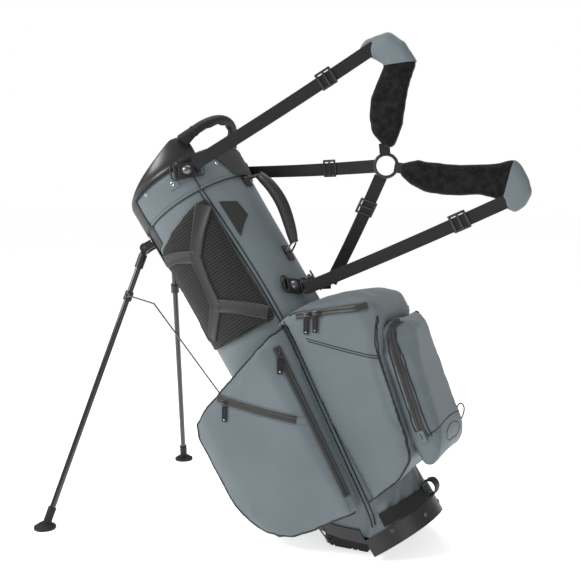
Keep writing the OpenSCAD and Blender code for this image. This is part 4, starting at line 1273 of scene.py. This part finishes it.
for tag, outline in pads.items():
    node = "shoulder_pad_" + tag
    pad = puffed(node, 0.004, 4, 0.004, 4)
    pad_faces = trees_of(pad)
    cover = pad.copy()
    cover.data = pad.data.copy()
    bpy.context.scene.collection.objects.link(cover)
    edit(cover, (bpy.ops.transform.shrink_fatten, {"value": 0.0012}))
    half_of(cover, *tips[tag])
    apply_modifier(cover, "SOLIDIFY", thickness=0.0014, offset=1)
    finish_piece(pad, node + "_foam", pile, stands_for=[node], leaned=False, angle=80)
    finish_piece(cover, node + "_tip", slate, leaned=False, angle=60)
    line = smooth_line([(u, -10, w) for u, w in outline], 4, True)
    spots, normals = cling(line, pad_faces, 0.6, None)
    finish_piece(tube(spots, 1.6, True), node + "_binding", binding, angle=80)
print("pads made")

flat_ring = []
for k in range(72):
    a = 2 * math.pi * k / 72
    x = (LEAN.to_3x3().transposed() @ Vector((0, 0, 1))).cross(facing).normalized()
    z = facing.cross(x)
    flat_ring.append(ring_at + x * (21.5 * math.cos(a)) + z * (21.5 * math.sin(a)))
finish_piece(tube(flat_ring, 3.2, True, sides=4), "harness_ring_wire", plastic,
             stands_for=["harness_ring"], angle=80)
for tag, (u, w) in {"upper": (402, 640), "lower": (416, 592)}.items():
    end = Vector((u, -6, w))
    inner = ring_at + (end - ring_at).normalized() * 19
    line = [inner.lerp(end + (end - ring_at).normalized() * 16, t) for t in np.linspace(0, 1, 8)]
    keeper = band(line, facing, 20, 4.5)
    finish_piece(keeper, "ring_keeper_" + tag, web)

# %% [markdown]
# ## Strap hubs
# A raised rim goes round each press button, and two bars hold the webbing.

# %% Hub trim
def hub_trim(tag, near):
    joint = joint_of[f"button_{tag}_{near}_press"]
    button = frame["nodes"][f"hub_button_{tag}_{near}"]
    out = Vector(joint["axis"]).normalized()
    centre = centre_of(button)
    bag_axis = row((0, 0, {"upper": 820, "lower": 520}[tag]))
    if out.dot(centre - bag_axis) < 0:
        out = -out
    across = out.cross(LEAN.to_3x3() @ Vector((0, 0, 1))).normalized()
    up = out.cross(across)
    spots = [(centre + (across * math.cos(a) + up * math.sin(a)) * 0.0112 + out * 0.0008) / MM
             for a in np.linspace(0, 2 * math.pi, 40, endpoint=False)]
    return tube(spots, 1.5, True)


def hub_loops(at, tilt):
    """The two webbing slots of a hub: rounded frames past the ends of its plate."""
    angle, w = at
    out = Vector((math.cos(math.radians(angle)), math.sin(math.radians(angle)), 0))
    along = Matrix.Rotation(math.radians(tilt), 3, out) @ Vector((0, 0, -1))
    across = out.cross(along)
    parts = []
    for end in (-1, 1):
        for reach_a, reach_b in ((17, 31), (17, 24)):
            corners = [(reach_a * end, -13), (reach_b * end, -13), (reach_b * end, 13), (reach_a * end, 13)]
            line = smooth_line([around(angle, w, 11) + along * a + across * b for a, b in corners], 1.5, True)
            parts.append(tube(line, 1.7, True))
    return parts


loops = hub_loops((-57, 820), 72) + hub_loops((-22, 520), 66)
slots = finish_piece(join(loops), "hub_slots_near", plastic, angle=80)
mirrored(slots, "hub_slots_far")
rims = [hub_trim(h, s) for h in ("upper", "lower") for s in sides]
finish_piece(join(rims), "hub_rims", plastic, leaned=False, angle=80)
print("hubs trimmed")

# %% [markdown]
# ## Base strap
# A webbing band wraps the bag's foot and rises into a finger loop, by which the foot is lifted.
# Both are flat bands along a line, joined, with UVs along the line for the weave.

# %% Base strap
strap_w = 36
wrap = [around(a, strap_w + 13 + 0.10 * abs(a) - 4, 2.6) for a in range(-62, 63, 4)]
outs = [Vector((p.x, p.y, 0)).normalized() for p in wrap]
lower_band = band(wrap, outs, 26, 2.2)
r0 = tube_r(strap_w) + 4.5
finger = smooth_line([(r0 + 2, 0, strap_w + 4), (r0 + 14, 0, strap_w + 3), (r0 + 24, 0, strap_w + 14),
                      (r0 + 22, 0, strap_w + 27), (r0 + 10, 0, strap_w + 31), (r0 + 1, 0, strap_w + 26),
                      (r0 - 1, 0, strap_w + 14)], 2)
upright = [Vector((0, 1, 0)).cross(d).normalized() for d, _, _ in frames_along(finger, (0, 1, 0))]
loop_band = band(finger, upright, 26, 2.2)
grab = join([lower_band, loop_band])
grab.data.transform(LEAN)
scatter_uv(grab, wrap + finger, outs + [Vector((1, 0, 0))] * len(finger))
finish_piece(grab, "base_strap", web, stands_for=["grab_strap"], leaned=False)
print("base strap made")

# %% [markdown]
# ## The picture
# Three round soft lamps light the bag from the front, the side and above. The floor is pale and
# glows a little, and the world is white where it is seen and dimmer as a light.

# %% Light and floor
def softbox(name, location, target, size, power):
    bpy.ops.object.light_add(type="AREA", location=location)
    lamp = bpy.context.active_object
    lamp.name = name
    lamp.rotation_euler = (Vector(target) - Vector(location)).to_track_quat("-Z", "Y").to_euler()
    lamp.data.shape, lamp.data.size, lamp.data.energy = "DISK", size, power


softbox("key", (-1.9, -1.9, 2.1), (-0.1, 0, 0.45), 1.3, 58)
softbox("fill", (2.4, -1.4, 1.0), (0, 0, 0.4), 1.6, 9)
softbox("top", (-0.3, 0.5, 2.6), (0, 0, 0.3), 1.6, 22)
world = bpy.data.worlds.new("studio")
world.use_nodes = True
nodes, links = world.node_tree.nodes, world.node_tree.links
seen, glow = nodes["Background"], nodes.new("ShaderNodeBackground")
seen.inputs["Color"].default_value = glow.inputs["Color"].default_value = (1, 1, 1, 1)
seen.inputs["Strength"].default_value, glow.inputs["Strength"].default_value = 1.0, 0.36
choose, ray = nodes.new("ShaderNodeMixShader"), nodes.new("ShaderNodeLightPath")
links.new(ray.outputs["Is Camera Ray"], choose.inputs["Fac"])
links.new(glow.outputs["Background"], choose.inputs[1])
links.new(seen.outputs["Background"], choose.inputs[2])
links.new(choose.outputs["Shader"], nodes["World Output"].inputs["Surface"])
bpy.context.scene.world = world
bpy.context.scene.view_settings.view_transform = "Standard"

bpy.ops.object.select_all(action="DESELECT")
bpy.ops.mesh.primitive_plane_add(size=60, location=(0, 0, 0))
floor = bpy.context.active_object
floor.name = "floor"
floor_paint = Paint("floor_paint", Roughness=0.9, Specular_IOR_Level=0.1)
floor_paint.shader.inputs["Base Color"].default_value = (0.93, 0.93, 0.93, 1)
floor_paint.shader.inputs["Emission Color"].default_value = (1, 1, 1, 1)
floor_paint.shader.inputs["Emission Strength"].default_value = 0.66
floor.data.materials.append(floor_paint.material)
floor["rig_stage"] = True
print("floor and lamps placed")

# %% [markdown]
# Cloth stands a little proud of the imported model. The box round everything shown, without the
# floor, is printed last.

# %% Sizes
low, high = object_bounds()
print("visual box", [round(x, 3) for x in (*low, *high)])
